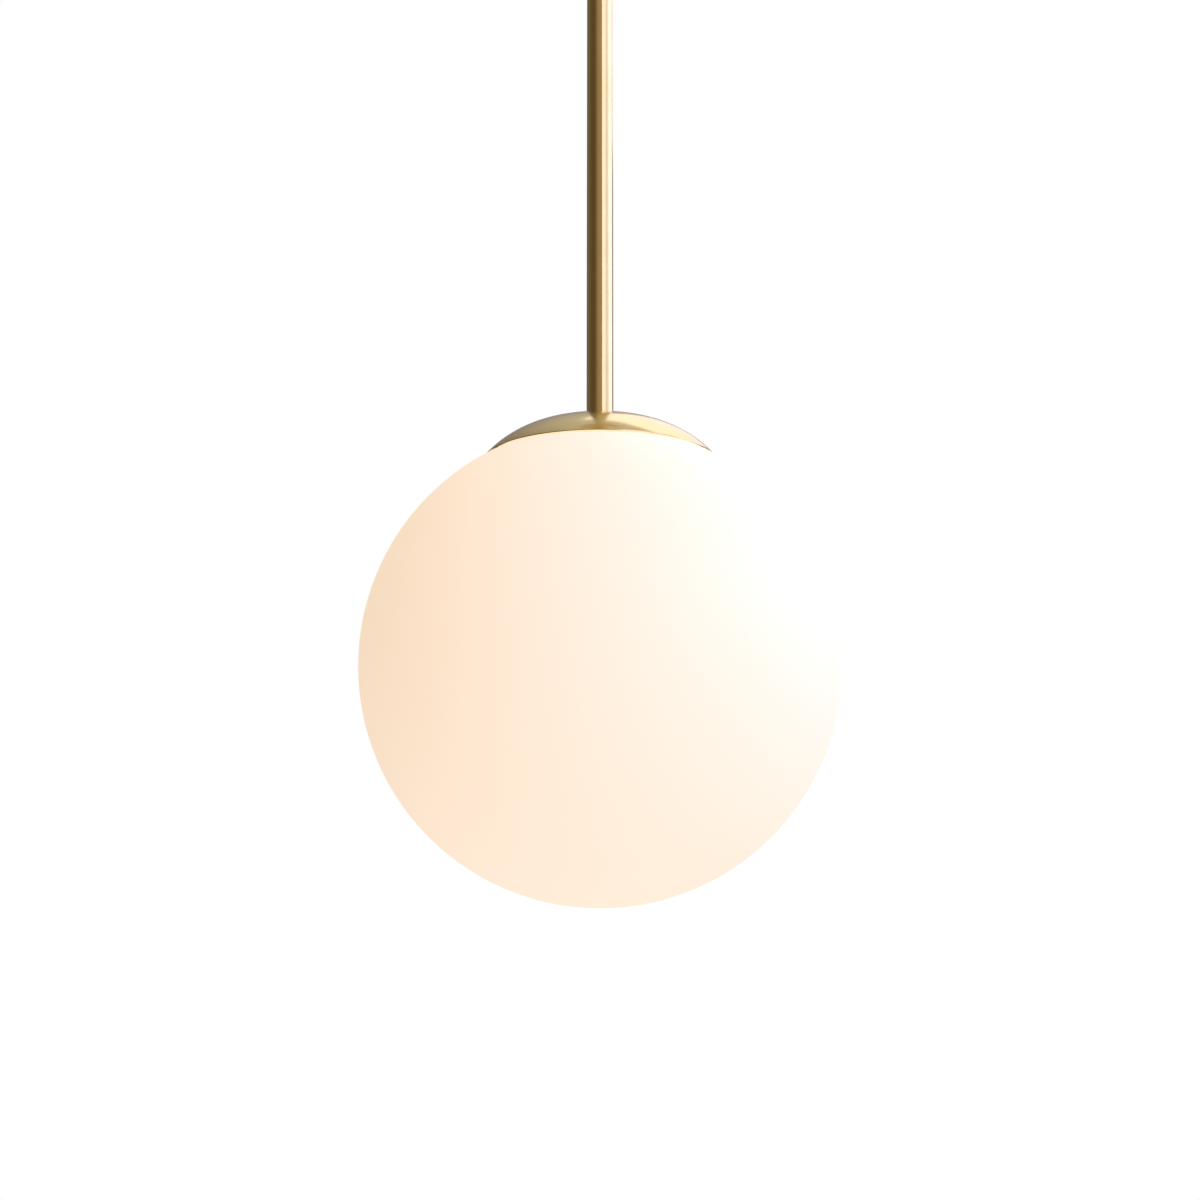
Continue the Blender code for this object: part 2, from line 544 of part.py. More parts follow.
def make_lampholder(m, stem):
    """The porcelain lampholder: cover, body, screw shell, contact, terminals, entry nut and two leads."""
    at = (0, 0, GLOBE_Z)
    top = PLATE_TOP - PLATE_WALL - GAP
    joint, mouth, wall_r, inner_r = 99 * MM, 68 * MM, 19 * MM, 16.5 * MM
    neck_r, shoulder_r, roof = 12 * MM, 7 * MM, 4 * MM
    cover = [(NIPPLE_HOLE_R, top), (neck_r, top), *arc((neck_r, top - shoulder_r), shoulder_r, 70, 0, 4),
             (wall_r, joint + GAP), (inner_r, joint + GAP), (inner_r, top - 2 * roof), (neck_r, top - roof),
             (NIPPLE_HOLE_R, top - roof)]
    turned("lampholder_cover", cover, MEDIUM, m["porcelain"], stem, at)
    bore, floor, eye_r, chamfer = HOLDER_THREAD_R + 2.3 * MM, 96 * MM, 3.4 * MM, 1 * MM
    body = [(bore, mouth), (wall_r - chamfer, mouth), (wall_r, mouth + chamfer), (wall_r, joint),
            (eye_r, joint), (eye_r, floor), (bore, floor)]
    turned("lampholder_body", body, MEDIUM, m["porcelain"], stem, at)
    shell_low, shell_high, shell_r = mouth + 1 * MM, 90 * MM, bore - 0.9 * MM
    threaded_sleeve("screw_shell", HOLDER_THREAD_R, shell_r, shell_low, shell_high, m["contact"], stem, at)
    leaf_r, post_r, leaf_top = 5 * MM, 3 * MM, LAMP_TIP + 1.4 * MM
    contact = [(0, LAMP_TIP + GAP), (leaf_r, LAMP_TIP + 2 * GAP), (leaf_r, leaf_top), (post_r, leaf_top),
               (post_r, joint - 0.5 * MM), (0, joint - 0.5 * MM)]
    turned("centre_contact", contact, COARSE, m["contact"], stem, at)
    nut_height = 3.6 * MM
    hex_nut("entry_nut", NUT_FLATS, nut_height, NIPPLE_HOLE_R, m["steel"], stem,
            (0, 0, GLOBE_Z + top - roof - GAP - nut_height))
    terminal_x, terminal_size = 9.5 * MM, (5 * MM, 5 * MM, 4 * MM)
    terminal_z = joint + GAP + terminal_size[2] / 2
    for side, word, colour in ((-1, "neutral", "blue"), (1, "live", "brown")):
        block(f"holder_terminal_{word}", terminal_size, m["contact"], stem,
              (side * terminal_x, 0, GLOBE_Z + terminal_z), bevel=0.4 * MM)
        stops = [(side * 1.2 * MM, 0, 108.9 * MM), (side * 1.6 * MM, 0, 106.6 * MM),
                 (side * 5.2 * MM, 0, 104.6 * MM), (side * terminal_x, 0, terminal_z + 3.4 * MM)]
        wire(f"holder_lead_{word}", smooth_route(stops, 3), LEAD_R, m[colour], stem, at)


def make_lamp(m, carrier, lamp):
    """The screw-in lamp: its contact tip, black glass insulator, threaded cap and frosted envelope."""
    at = (0, 0, GLOBE_Z)
    tip_r, tip_low, tip_edge = 5 * MM, LAMP_TIP - 1.6 * MM, LAMP_TIP - 0.6 * MM
    tip = [(0, tip_low), (tip_r, tip_low), (tip_r * 0.9, tip_edge), (0, LAMP_TIP)]
    turned("lamp_tip", tip, COARSE, m["nickel"], carrier, at)
    low, high = LAMP_TIP - 4.7 * MM, LAMP_TIP - 1.9 * MM
    insulator = [(0, low), (10.8 * MM, low), (tip_r, high), (0, high)]
    turned("lamp_insulator", insulator, COARSE, m["black_glass"], lamp, at)
    cap_low, cap_high = LAMP_TIP - 25 * MM, LAMP_TIP - 5 * MM
    threaded_sleeve("lamp_cap", LAMP_THREAD_R, 11.2 * MM, cap_low, cap_high, m["nickel"], lamp, at)
    neck_r, bottom, wall = 10.7 * MM, LAMP_TIP - LAMP_LENGTH, 1 * MM
    outer = [(neck_r, cap_low + 10 * MM), (neck_r, cap_low - 0.4 * MM), (13 * MM, cap_low - 2.4 * MM),
             (15.5 * MM, cap_low - 12 * MM), (22 * MM, cap_low - 26 * MM),
             *arc((0, bottom + LAMP_BULB_R), LAMP_BULB_R, 20, -90, 8)]
    inner = [(max(radius - wall, 0), height) for radius, height in outer[:-1]]
    turned("lamp_glass", [*outer, (0, bottom + wall), *inner[::-1]], 20, m["lamp_glass"], lamp, at)


def make_globe(m, globe):
    """The blown globe: one opal wall with a ground hole at the top."""
    walls = []
    for radius in (GLOBE_R, GLOBE_R - GLASS_WALL):
        start = math.degrees(math.acos(GLASS_HOLE_R / radius))
        walls.append(arc((0, 0), radius, start, 30, 4) + arc((0, 0), radius, 30, -90, 8)[1:])
    turned("glass_globe", [*walls[0], *walls[1][::-1]], FINE, m["opal"], globe, (0, 0, GLOBE_Z))


def main():
    for old in list(bpy.data.objects):
        bpy.data.objects.remove(old, do_unlink=True)
    m = make_materials()
    canopy = joint_axis("ceiling_frame", None, (0, 0, 0))
    fork = joint_axis("swivel_spin_axis", canopy, (0, 0, SWIVEL_TOP_Z))
    stem = joint_axis("stem_tilt_axis", fork, (0, 0, PIVOT_Z))
    globe = joint_axis("globe_release_axis", stem, (0, 0, GLOBE_Z))
    carrier = joint_axis("lamp_travel_axis", stem, (0, 0, GLOBE_Z + LAMP_TIP))
    lamp = joint_axis("lamp_turn_axis", carrier, (0, 0, GLOBE_Z + LAMP_TIP))
    clip_axes = []
    for i in range(CLIP_COUNT):
        turn = Matrix.Rotation(2 * math.pi * i / CLIP_COUNT, 3, "Z")
        pivot = turn @ Vector((CLIP_PIVOT_R, 0, GLOBE_Z + CLIP_PIVOT_Z))
        clip_axes.append(joint_axis(f"clip_fold_axis_{i + 1}", stem, tuple(pivot)))
    make_crossbar(m, canopy)
    make_canopy(m, canopy)
    make_wiring(m, canopy)
    make_swivel(m, fork, stem)
    make_stem(m, stem)
    make_cap(m, stem)
    make_holder_plate(m, stem)
    make_clips(m, stem, clip_axes)
    make_lampholder(m, stem)
    make_lamp(m, carrier, lamp)
    make_globe(m, globe)


main()
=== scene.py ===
# %% [markdown]
# # A globe pendant light
#
# An opal glass globe hangs under a shallow spun brass cap, on a straight brass stem. The frame holds every
# part as a plain solid, with its true size, place and joint. This script gives each of them the surface
# that the real part has. Nothing is moved: every new piece is made where the frame's own solid lies, and
# rides on its body.

# %% Load the frame
import json
import math

import bmesh
import bpy
from mathutils import Matrix, Vector


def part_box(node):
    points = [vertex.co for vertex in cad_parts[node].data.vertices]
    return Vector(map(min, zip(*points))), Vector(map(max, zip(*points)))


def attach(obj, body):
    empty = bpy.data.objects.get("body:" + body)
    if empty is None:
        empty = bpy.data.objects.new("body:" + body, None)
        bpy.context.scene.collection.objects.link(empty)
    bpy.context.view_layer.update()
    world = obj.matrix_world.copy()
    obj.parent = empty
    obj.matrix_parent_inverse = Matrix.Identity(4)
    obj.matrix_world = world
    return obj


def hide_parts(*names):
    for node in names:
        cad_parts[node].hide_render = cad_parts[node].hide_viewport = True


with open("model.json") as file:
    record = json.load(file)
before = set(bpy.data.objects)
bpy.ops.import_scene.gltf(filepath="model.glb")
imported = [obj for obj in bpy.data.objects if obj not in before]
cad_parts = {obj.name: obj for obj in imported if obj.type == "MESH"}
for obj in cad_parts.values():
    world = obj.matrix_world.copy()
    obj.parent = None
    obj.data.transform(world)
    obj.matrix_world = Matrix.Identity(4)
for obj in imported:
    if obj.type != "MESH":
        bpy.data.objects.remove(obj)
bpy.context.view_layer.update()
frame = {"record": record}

MM = 0.001
SAME_POINT = 0.001 * MM  # vertices closer than this are merged
record = frame["record"]
body_of = {node: body for body, nodes in record["behaviour"]["bodies"].items() for node in nodes}

# %% [markdown]
# ## Where things are
#
# All the round parts share one vertical axis, so a piece's place is a height on it. The heights are read
# from the frame's own solids. The globe's centre is the useful one, because the cap and everything inside
# are set out from it.

# %% Heights on the axis
globe_low, globe_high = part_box("glass_globe")
GLOBE_R = globe_high.x
GLOBE_Z = globe_low.z + GLOBE_R
stem_low, stem_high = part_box("stem_tube")
STEM_R = stem_high.x
cap_low, cap_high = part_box("cap_dome")
CAP_R = cap_high.x
print(f"globe radius {GLOBE_R:.4f} at {GLOBE_Z:.4f}, stem radius {STEM_R:.4f}, cap radius {CAP_R:.4f}")

# %% [markdown]
# ## The camera
#
# The light hangs above eye level, so the camera looks up at it. Its lens is 75 mm on a 36 mm sensor, a mild
# telephoto, which keeps the globe looking round. It is aimed a little above the globe, so that the stem
# runs out of the top of the view. Depth of field stays off.

# %% Camera
CAMERA_DISTANCE = 1.2983
GLOBE_ELEVATION = math.radians(11.205)  # of the globe's centre, seen from the camera
CAMERA_PITCH = math.radians(12.71)
camera_data = bpy.data.cameras.new("camera")
camera_data.lens = 75
camera_data.sensor_width = 36
camera = bpy.data.objects.new("camera", camera_data)
bpy.context.scene.collection.objects.link(camera)
to_globe = Vector((0, math.cos(GLOBE_ELEVATION), math.sin(GLOBE_ELEVATION)))
camera.location = Vector((0, 0, GLOBE_Z)) - CAMERA_DISTANCE * to_globe
camera.rotation_euler = (math.pi / 2 + CAMERA_PITCH, 0, 0)
bpy.context.scene.camera = camera
bpy.context.scene.view_settings.view_transform = "Standard"
print(f"camera at {tuple(round(v, 3) for v in camera.location)}")

# %% [markdown]
# ## Adding nodes
#
# A material or a world is a tree of nodes. One helper adds any node: a value that is a socket is linked,
# and any other value is set on the node's own socket. Colours are written as sRGB hex values, which is how
# they are picked, and turned into the linear values that the shaders work in.


# %% Node and colour helpers
def linear(colour):
    """An sRGB hex colour as linear red, green, blue and alpha."""
    parts = [int(colour[i : i + 2], 16) / 255 for i in (0, 2, 4)]
    return (*[((c + 0.055) / 1.055) ** 2.4 if c > 0.04045 else c / 12.92 for c in parts], 1.0)


def add(tree, kind, inputs=None, **settings):
    """Adds a node. Settings are its properties, and inputs are its sockets' values or links."""
    made = tree.nodes.new(kind)
    for name, value in settings.items():
        setattr(made, name, value)
    for name, value in (inputs or {}).items():
        if isinstance(value, bpy.types.NodeSocket):
            tree.links.new(value, made.inputs[name])
        else:
            made.inputs[name].default_value = value
    return made


# %% [markdown]
# ## The studio
#
# The background is plain white, but rays that don't go straight to the camera see a room instead. Brass is
# a mirror: what shows in it is this room, so the room's dark parts are as much a part of the lighting as
# the lamps are. The room is dark brown at the left, a warm mid-tone in front, a cool grey behind, and paler
# above and below. The wall behind and the ceiling are darker towards the left too. The colours run smoothly
# into each other, by how far a direction leans along each axis.
#
# Four soft boxes stand round the right side. The front panel has a crisp left edge, which is the edge of
# the bright stripe down the stem. The window is dimmer, and gives the stripe its duller middle. The side
# panel gives the bright right edge, and shades the globe from left to right. The back panel is what the
# right half of the cap reflects.

# %% World
ROOM_LEFT, ROOM_FRONT = "614F3C", "A49074"
ROOM_BACK_LEFT, ROOM_BACK = "716861", "AEA6A9"
CEILING_LEFT, CEILING, LOW = "8B827B", "CFC9C0", "B8AFAB"
world = bpy.data.worlds.new("studio")
bpy.context.scene.world = world
world.use_nodes = True
tree = world.node_tree
tree.nodes.clear()
path = add(tree, "ShaderNodeLightPath")
direction = add(tree, "ShaderNodeTexCoord").outputs["Generated"]
parts = add(tree, "ShaderNodeSeparateXYZ", {"Vector": direction}).outputs


def blend_by(axis, start, end, first, second):
    """Mixes two colours of the room by how far a direction leans along one axis."""
    share = add(tree, "ShaderNodeMapRange", {"Value": parts[axis], "From Min": start, "From Max": end},
                interpolation_type="SMOOTHSTEP").outputs[0]
    return add(tree, "ShaderNodeMix", {0: share, 6: first, 7: second}, data_type="RGBA").outputs[2]


front = blend_by("X", -0.75, -0.1, linear(ROOM_LEFT), linear(ROOM_FRONT))
back = blend_by("X", -0.55, 0.25, linear(ROOM_BACK_LEFT), linear(ROOM_BACK))
walls = blend_by("Y", -0.3, 0.5, front, back)
walls = blend_by("Z", -0.5, 0.0, linear(LOW), walls)
ceiling = blend_by("X", -0.65, 0.0, linear(CEILING_LEFT), linear(CEILING))
room = blend_by("Z", 0.45, 0.9, walls, ceiling)
dim = add(tree, "ShaderNodeBackground", {"Color": room, "Strength": 1.0})
white = add(tree, "ShaderNodeBackground", {"Color": (1, 1, 1, 1), "Strength": 1.0})
straight = path.outputs["Is Camera Ray"]
seen = add(tree, "ShaderNodeMixShader", {0: straight, 1: dim.outputs[0], 2: white.outputs[0]})
add(tree, "ShaderNodeOutputWorld", {"Surface": seen.outputs[0]})
print(f"{len(tree.nodes)} nodes in the world")


# %% Soft boxes
def soft_box(name, azimuth, distance, height, size, radiance, colour):
    """A rectangular lamp that faces the globe. Its azimuth is from the camera's side round to the right."""
    data = bpy.data.lights.new(name, "AREA")
    data.shape = "RECTANGLE"
    data.size, data.size_y = size
    data.energy = radiance * math.pi * size[0] * size[1]
    data.color = linear(colour)[:3]
    lamp = bpy.data.objects.new(name, data)
    bpy.context.scene.collection.objects.link(lamp)
    turn = math.radians(azimuth)
    place = Vector((distance * math.sin(turn), -distance * math.cos(turn), height))
    lamp.location = Vector((0, 0, GLOBE_Z)) + place
    lamp.rotation_euler = (-place).to_track_quat("-Z", "Y").to_euler()
    lamp.visible_camera = False
    print(f"{name}: {size[0]} x {size[1]} m at {azimuth} degrees")


soft_box("front_panel", 34, 1.8, 0.5, (0.9, 1.9), 1.42, "EADDFF")
soft_box("window", 63, 1.8, 0.8, (0.8, 1.3), 0.93, "DADBFF")
soft_box("side_panel", 101, 1.8, 0.87, (1.57, 0.9), 1.85, "D8D1FF")
soft_box("back_panel", 151, 1.6, 1.8, (1.6, 1.7), 0.79, "FFF4FF")

# %% [markdown]
# The floor is a plain pale disc, well below the light. The camera looks up past it, so it shows only from
# level or above. It glows a little, so that it stays pale, and it is hidden from diffuse and glossy rays,
# so that it neither lights the globe nor shows in the brass.

# %% Floor
FLOOR_DROP = 1.1
FLOOR_R = 8.0
FLOOR_LOOK = {"Base Color": linear("E2E0DC"), "Roughness": 0.9, "Emission Color": linear("FFFFFF"),
              "Emission Strength": 0.45}
shape = bmesh.new()
bmesh.ops.create_circle(shape, cap_ends=True, segments=96, radius=FLOOR_R)
bmesh.ops.translate(shape, vec=(0, 0, GLOBE_Z - FLOOR_DROP), verts=shape.verts)
floor_mesh = bpy.data.meshes.new("floor")
shape.to_mesh(floor_mesh)
shape.free()
floor = bpy.data.objects.new("floor", floor_mesh)
bpy.context.scene.collection.objects.link(floor)
floor_material = bpy.data.materials.new("matt_pale_paper")
floor_material.use_nodes = True
for socket, value in FLOOR_LOOK.items():
    floor_material.node_tree.nodes["Principled BSDF"].inputs[socket].default_value = value
floor_mesh.materials.append(floor_material)
floor.visible_diffuse = floor.visible_glossy = False
print(f"floor {FLOOR_DROP} m below the globe's centre")

# %% [markdown]
# ## Turning
#
# Nearly every part of this light is round, and the real ones are turned on a lathe, spun over a form or
# blown in a round mould. So one helper makes them all: a section is drawn as a face with a few corners, the
# corners are rounded with a vertex bevel, and the outline is spun about the axis. A corner is (radius,
# height) or (radius, height, rounding), and the rounding is how far along its edges it starts. An edge on
# the axis itself is taken out first, because spun it would leave a stray edge inside the solid.
#
# Smooth shading alone would bend the light on a flat face towards the small rounded edges beside it. Every
# finished piece therefore gets weighted normals, in which a large face counts for more than a small one.


# %% Turning helpers
def link(name, shape, finish, sharp=32):
    """Merges doubles, turns the faces outwards, shades smooth up to the sharp angle and makes an object."""
    bmesh.ops.remove_doubles(shape, verts=shape.verts, dist=SAME_POINT)
    bmesh.ops.recalc_face_normals(shape, faces=shape.faces)
    mesh = bpy.data.meshes.new(name)
    shape.to_mesh(mesh)
    shape.free()
    mesh.shade_smooth()
    mesh.set_sharp_from_angle(angle=math.radians(sharp))
    mesh.materials.append(finish)
    made = bpy.data.objects.new(name, mesh)
    bpy.context.scene.collection.objects.link(made)
    return made


def outline(corners, facets, upright=True):
    """A bmesh with one face in the XZ plane, or in the XY plane, whose corners are rounded."""
    shape = bmesh.new()
    points = [shape.verts.new((c[0], 0, c[1]) if upright else (c[0], c[1], 0)) for c in corners]
    shape.faces.new(points)
    for rounding in sorted({c[2] for c in corners if len(c) == 3}):
        chosen = [p for p, c in zip(points, corners) if len(c) == 3 and c[2] == rounding]
        bmesh.ops.bevel(shape, geom=chosen, offset=rounding, offset_type="OFFSET", affect="VERTICES",
                        segments=facets, profile=0.5, material=-1, clamp_overlap=False)
    return shape


def turned(name, corners, finish, at=(0, 0, 0), steps=96, facets=5, turn=None):
    """A section spun about the vertical axis through a point. A turn, if any, is made before it is placed."""
    shape = outline(corners, facets)
    bmesh.ops.delete(shape, geom=shape.faces[:], context="FACES_ONLY")
    on_axis = [e for e in shape.edges if all(abs(v.co.x) < SAME_POINT for v in e.verts)]
    bmesh.ops.delete(shape, geom=on_axis, context="EDGES")
    bmesh.ops.spin(shape, geom=shape.verts[:] + shape.edges[:], cent=(0, 0, 0), axis=(0, 0, 1),
                   dvec=(0, 0, 0), angle=2 * math.pi, steps=steps, use_merge=True, use_duplicate=False)
    place = Matrix.Translation(at) @ (turn or Matrix.Identity(4))
    bmesh.ops.transform(shape, matrix=place, verts=shape.verts)
    return link(name, shape, finish)


def arc(centre, radius, start, end, count):
    """Corners along an arc of a section, from one angle to another in degrees."""
    angles = [math.radians(start + (end - start) * i / count) for i in range(count + 1)]
    return [(centre[0] + radius * math.cos(a), centre[1] + radius * math.sin(a)) for a in angles]


def evaluated(piece):
    """A new mesh of the piece with its modifiers, or its curve's bevel, worked in."""
    return bpy.data.meshes.new_from_object(piece.evaluated_get(bpy.context.evaluated_depsgraph_get()))


def dress(piece, *nodes):
    """Weights the piece's normals, lets it stand for the nodes by hiding them, and gives it their body."""
    piece.modifiers.new("weighted_normals", "WEIGHTED_NORMAL").keep_sharp = True
    piece.data = evaluated(piece)
    piece.modifiers.clear()
    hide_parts(*nodes)
    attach(piece, body_of[nodes[0]])
    print(f"{piece.name}: {len(piece.data.polygons)} faces on {body_of[nodes[0]]}, for {', '.join(nodes)}")


# %% [markdown]
# ## Cutting and joining
#
# A slot, a cross hole or a tab isn't round about the main axis. The real ones are milled, drilled or
# pressed, and a Boolean modifier does the same: it takes one closed solid out of another, joins them, or
# keeps what they share. The result is written back to the mesh, and the cutter is removed, so nothing is
# left live. A Bevel modifier then breaks the edges, because no real edge is perfectly sharp, and the small
# face there is what catches the light.


# %% Cutting helpers
def settle(piece, sharp=32):
    """Writes the modifiers' result into the piece's own mesh."""
    mesh = evaluated(piece)
    piece.modifiers.clear()
    piece.data = mesh
    shape = bmesh.new()
    shape.from_mesh(mesh)
    bmesh.ops.remove_doubles(shape, verts=shape.verts, dist=SAME_POINT)
    shape.to_mesh(mesh)
    shape.free()
    mesh.shade_smooth()
    mesh.set_sharp_from_angle(angle=math.radians(sharp))
    return piece


def combine(piece, operation, *others):
    """Takes others out of the piece (DIFFERENCE), joins them on (UNION) or keeps what is shared (INTERSECT)."""
    for other in others:
        modifier = piece.modifiers.new(other.name, "BOOLEAN")
        modifier.operation = operation
        modifier.solver = "EXACT"
        modifier.object = other
    settle(piece)
    for other in others:
        bpy.data.objects.remove(other, do_unlink=True)
    return piece


def soften(piece, width, segments=2, limit=35):
    """Breaks the edges that are sharper than the limit, in degrees."""
    modifier = piece.modifiers.new("broken_edges", "BEVEL")
    modifier.width = width
    modifier.segments = segments
    modifier.limit_method = "ANGLE"
    modifier.angle_limit = math.radians(limit)
    return settle(piece)


def block(name, size, centre, finish, turn=None):
    """A rectangular solid, turned about its own centre if asked. It is a cutter, or is shaped further."""
    shape = bmesh.new()
    bmesh.ops.create_cube(shape, size=1)
    bmesh.ops.scale(shape, vec=size, verts=shape.verts)
    place = Matrix.Translation(centre) @ (turn or Matrix.Identity(4))
    bmesh.ops.transform(shape, matrix=place, verts=shape.verts)
    return link(name, shape, finish)


QUARTER = {"X": Matrix.Rotation(math.pi / 2, 4, "Y"), "Y": Matrix.Rotation(math.pi / 2, 4, "X"),
           "Z": Matrix.Identity(4)}


def drill(piece, radius, length, centre, axis="Z", turn=None, steps=40):
    """Takes a round hole out of the piece, centred on a point and along one axis of its turned space."""
    shape = bmesh.new()
    bmesh.ops.create_cone(shape, cap_ends=True, segments=steps, radius1=radius, radius2=radius, depth=length)
    place = (turn or Matrix.Identity(4)) @ Matrix.Translation(centre) @ QUARTER[axis]
    bmesh.ops.transform(shape, matrix=place, verts=shape.verts)
    return combine(piece, "DIFFERENCE", link("drill", shape, piece.data.materials[0]))


def pressed(name, corners, thickness, finish, turn=None, facets=4, upright=True):
    """An outline in the XZ or XY plane, given a thickness, half to each side, and then turned into place."""
    shape = outline(corners, facets, upright)
    normal = Vector((0, 1, 0)) if upright else Vector((0, 0, 1))
    made = bmesh.ops.extrude_face_region(shape, geom=shape.faces[:])["geom"]
    moved = [g for g in made if isinstance(g, bmesh.types.BMVert)]
    bmesh.ops.translate(shape, vec=normal * thickness, verts=moved)
    bmesh.ops.translate(shape, vec=-normal * thickness / 2, verts=shape.verts)
    bmesh.ops.transform(shape, matrix=turn or Matrix.Identity(4), verts=shape.verts)
    return link(name, shape, finish)


# %% [markdown]
# ## Threads, nuts and washers
#
# A thread is rolled or cut: the wall goes in and out along a helix. A turned wall with many rows of points
# is moved in and out by a wave whose phase runs with the height and the angle. A machine thread is a V, and
# the lamp's Edison thread is round. The wave fades out over the last turn at each end, as a real thread
# does.
#
# A nut is a hexagon bar, and its corners are turned off to a chamfer. A Boolean keeps what a six-sided
# prism and a turned double cone share, which gives the curved edge that a real nut has.


# %% Thread, nut and washer helpers
ON_WALL = 0.02 * MM  # a vertex this close to a wall's radius belongs to it


def rows(radius, low, high, pitch, per_turn=6):
    """Corners up a straight wall, close enough together to carry a thread."""
    count = round((high - low) / pitch * per_turn)
    return [(radius, low + (high - low) * i / count) for i in range(count + 1)]


def thread(piece, radii, depth, pitch, low, high, centre, rounded=False):
    """Waves the walls at these radii in and out along a right-hand helix that is set out from the centre."""
    for vertex in piece.data.vertices:
        x, y, z = vertex.co - Vector(centre)
        radius = math.hypot(x, y)
        if min(abs(radius - r) for r in radii) > ON_WALL or not low < z < high:
            continue
        wave = math.cos(2 * math.pi * z / pitch - math.atan2(y, x))
        wave = wave if rounded else math.asin(wave) / (math.pi / 2)
        grown = 1 + depth * wave * min(1, (z - low) / pitch, (high - z) / pitch) / radius
        vertex.co.x = centre[0] + x * grown
        vertex.co.y = centre[1] + y * grown
    return piece


def hex_nut(name, node, bore, finish):
    """A chamfered hexagon nut in the place and of the size of a node."""
    low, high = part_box(node)
    centre, size = (low + high) / 2, high - low
    flats = min(size.x, size.y)
    corner, face_r, chamfer = flats / math.sqrt(3), flats / 2 * 0.97, flats * 0.05
    shape = bmesh.new()
    bmesh.ops.create_cone(shape, cap_ends=True, segments=6, radius1=corner, radius2=corner, depth=size.z)
    bmesh.ops.translate(shape, vec=centre, verts=shape.verts)
    nut = link(name, shape, finish)
    half, lead = size.z / 2, 0.3 * MM
    section = [(bore, -half + lead), (bore + lead, -half), (face_r, -half), (corner, -half + chamfer),
               (corner, half - chamfer), (face_r, half), (bore + lead, half), (bore, half - lead)]
    combine(nut, "INTERSECT", turned("nut_form", section, finish, centre, steps=72))
    soften(nut, 0.08 * MM, 1)
    dress(nut, node)


def washer(name, node, bore, finish):
    """A punched washer with a soft edge on the side it was pressed from."""
    low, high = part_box(node)
    radius, half = (high.x - low.x) / 2, (high.z - low.z) / 2
    corners = [(bore, -half, 0.1 * MM), (radius, -half, 0.1 * MM), (radius, half, 0.35 * MM),
               (bore, half, 0.2 * MM)]
    dress(turned(name, corners, finish, (low + high) / 2, steps=72, facets=3), node)


# %% [markdown]
# ## Wires
#
# The leads are extruded cable, and the springs are drawn wire. A lead's route is a smooth Catmull-Rom curve
# through a few stops, and a spring's is a helix. A round bevel gives the route its thickness, and it is
# then made a mesh, which keeps a UV map that runs along and round the wire. The flex is straight, so it is
# turned like the round parts.


# %% Wire helpers
def smooth_route(stops, steps):
    """Points along a Catmull-Rom curve through the stops."""
    ends = [2 * Vector(stops[0]) - Vector(stops[1]), 2 * Vector(stops[-1]) - Vector(stops[-2])]
    knots = [ends[0], *map(Vector, stops), ends[1]]
    route = []
    for a, b, c, d in zip(knots, knots[1:], knots[2:], knots[3:]):
        for i in range(steps):
            t = i / steps
            route.append(0.5 * (2 * b + (c - a) * t + (2 * a - 5 * b + 4 * c - d) * t**2
                                + (3 * b - a - 3 * c + d) * t**3))
    return [*route, knots[-2]]


def wire(name, points, radius, finish, sides=4):
    """A round wire with closed ends along a route of points. Four sides to a quarter make it look round."""
    curve = bpy.data.curves.new(name, "CURVE")
    curve.dimensions = "3D"
    curve.bevel_depth = radius
    curve.bevel_resolution = sides
    curve.use_fill_caps = True
    line = curve.splines.new("POLY")
    line.points.add(len(points) - 1)
    for point, place in zip(line.points, points):
        point.co = (*place, 1)
    made = bpy.data.objects.new(name, curve)
    bpy.context.scene.collection.objects.link(made)
    mesh = evaluated(made)
    bpy.data.objects.remove(made, do_unlink=True)
    shape = bmesh.new()
    shape.from_mesh(mesh)
    bpy.data.meshes.remove(mesh)
    return link(name, shape, finish)


# %% [markdown]
# ## Finishes
#
# Every finish here comes about in the same few ways, so one helper makes them: two close tones in slow
# patches, as plating, lacquer and handling give; a finer grain in the roughness, which breaks up the
# highlight; and the same grain as a very low relief. What differs is the scale, the depth and the way the
# grain runs. On lathe-polished parts it runs in rings, on drawn and rolled stock it runs along, and on a
# cable it runs along the wire's own UV map.


# %% Finish helper
GRAIN_STRETCH = 0.008  # a grain's width over its length, where it runs along a tube


def grain_space(tree, run, grain, centre):
    """Where the grain is read, in grains: even, along Z, in rings about a vertical axis, or along a cable."""
    texture = add(tree, "ShaderNodeTexCoord").outputs
    if run == "cable":
        return add(tree, "ShaderNodeMapping", {"Vector": texture["UV"], "Scale": (4, 1, 1)}).outputs[0]
    shift = {"Vector": texture["Object"], "Location": [-c for c in centre]}
    centred = add(tree, "ShaderNodeMapping", shift).outputs[0]
    if run == "rings":
        flat = add(tree, "ShaderNodeVectorMath", {0: centred, 1: (1, 1, 0)}, operation="MULTIPLY").outputs[0]
        radius = add(tree, "ShaderNodeVectorMath", {0: flat}, operation="LENGTH").outputs["Value"]
        height = add(tree, "ShaderNodeSeparateXYZ", {"Vector": centred}).outputs["Z"]
        centred = add(tree, "ShaderNodeCombineXYZ", {"X": radius, "Y": height}).outputs[0]
    stretch = (1, 1, GRAIN_STRETCH) if run == "along" else (1, 1, 1)
    scale = [s / grain for s in stretch]
    return add(tree, "ShaderNodeMapping", {"Vector": centred, "Scale": scale}).outputs[0]


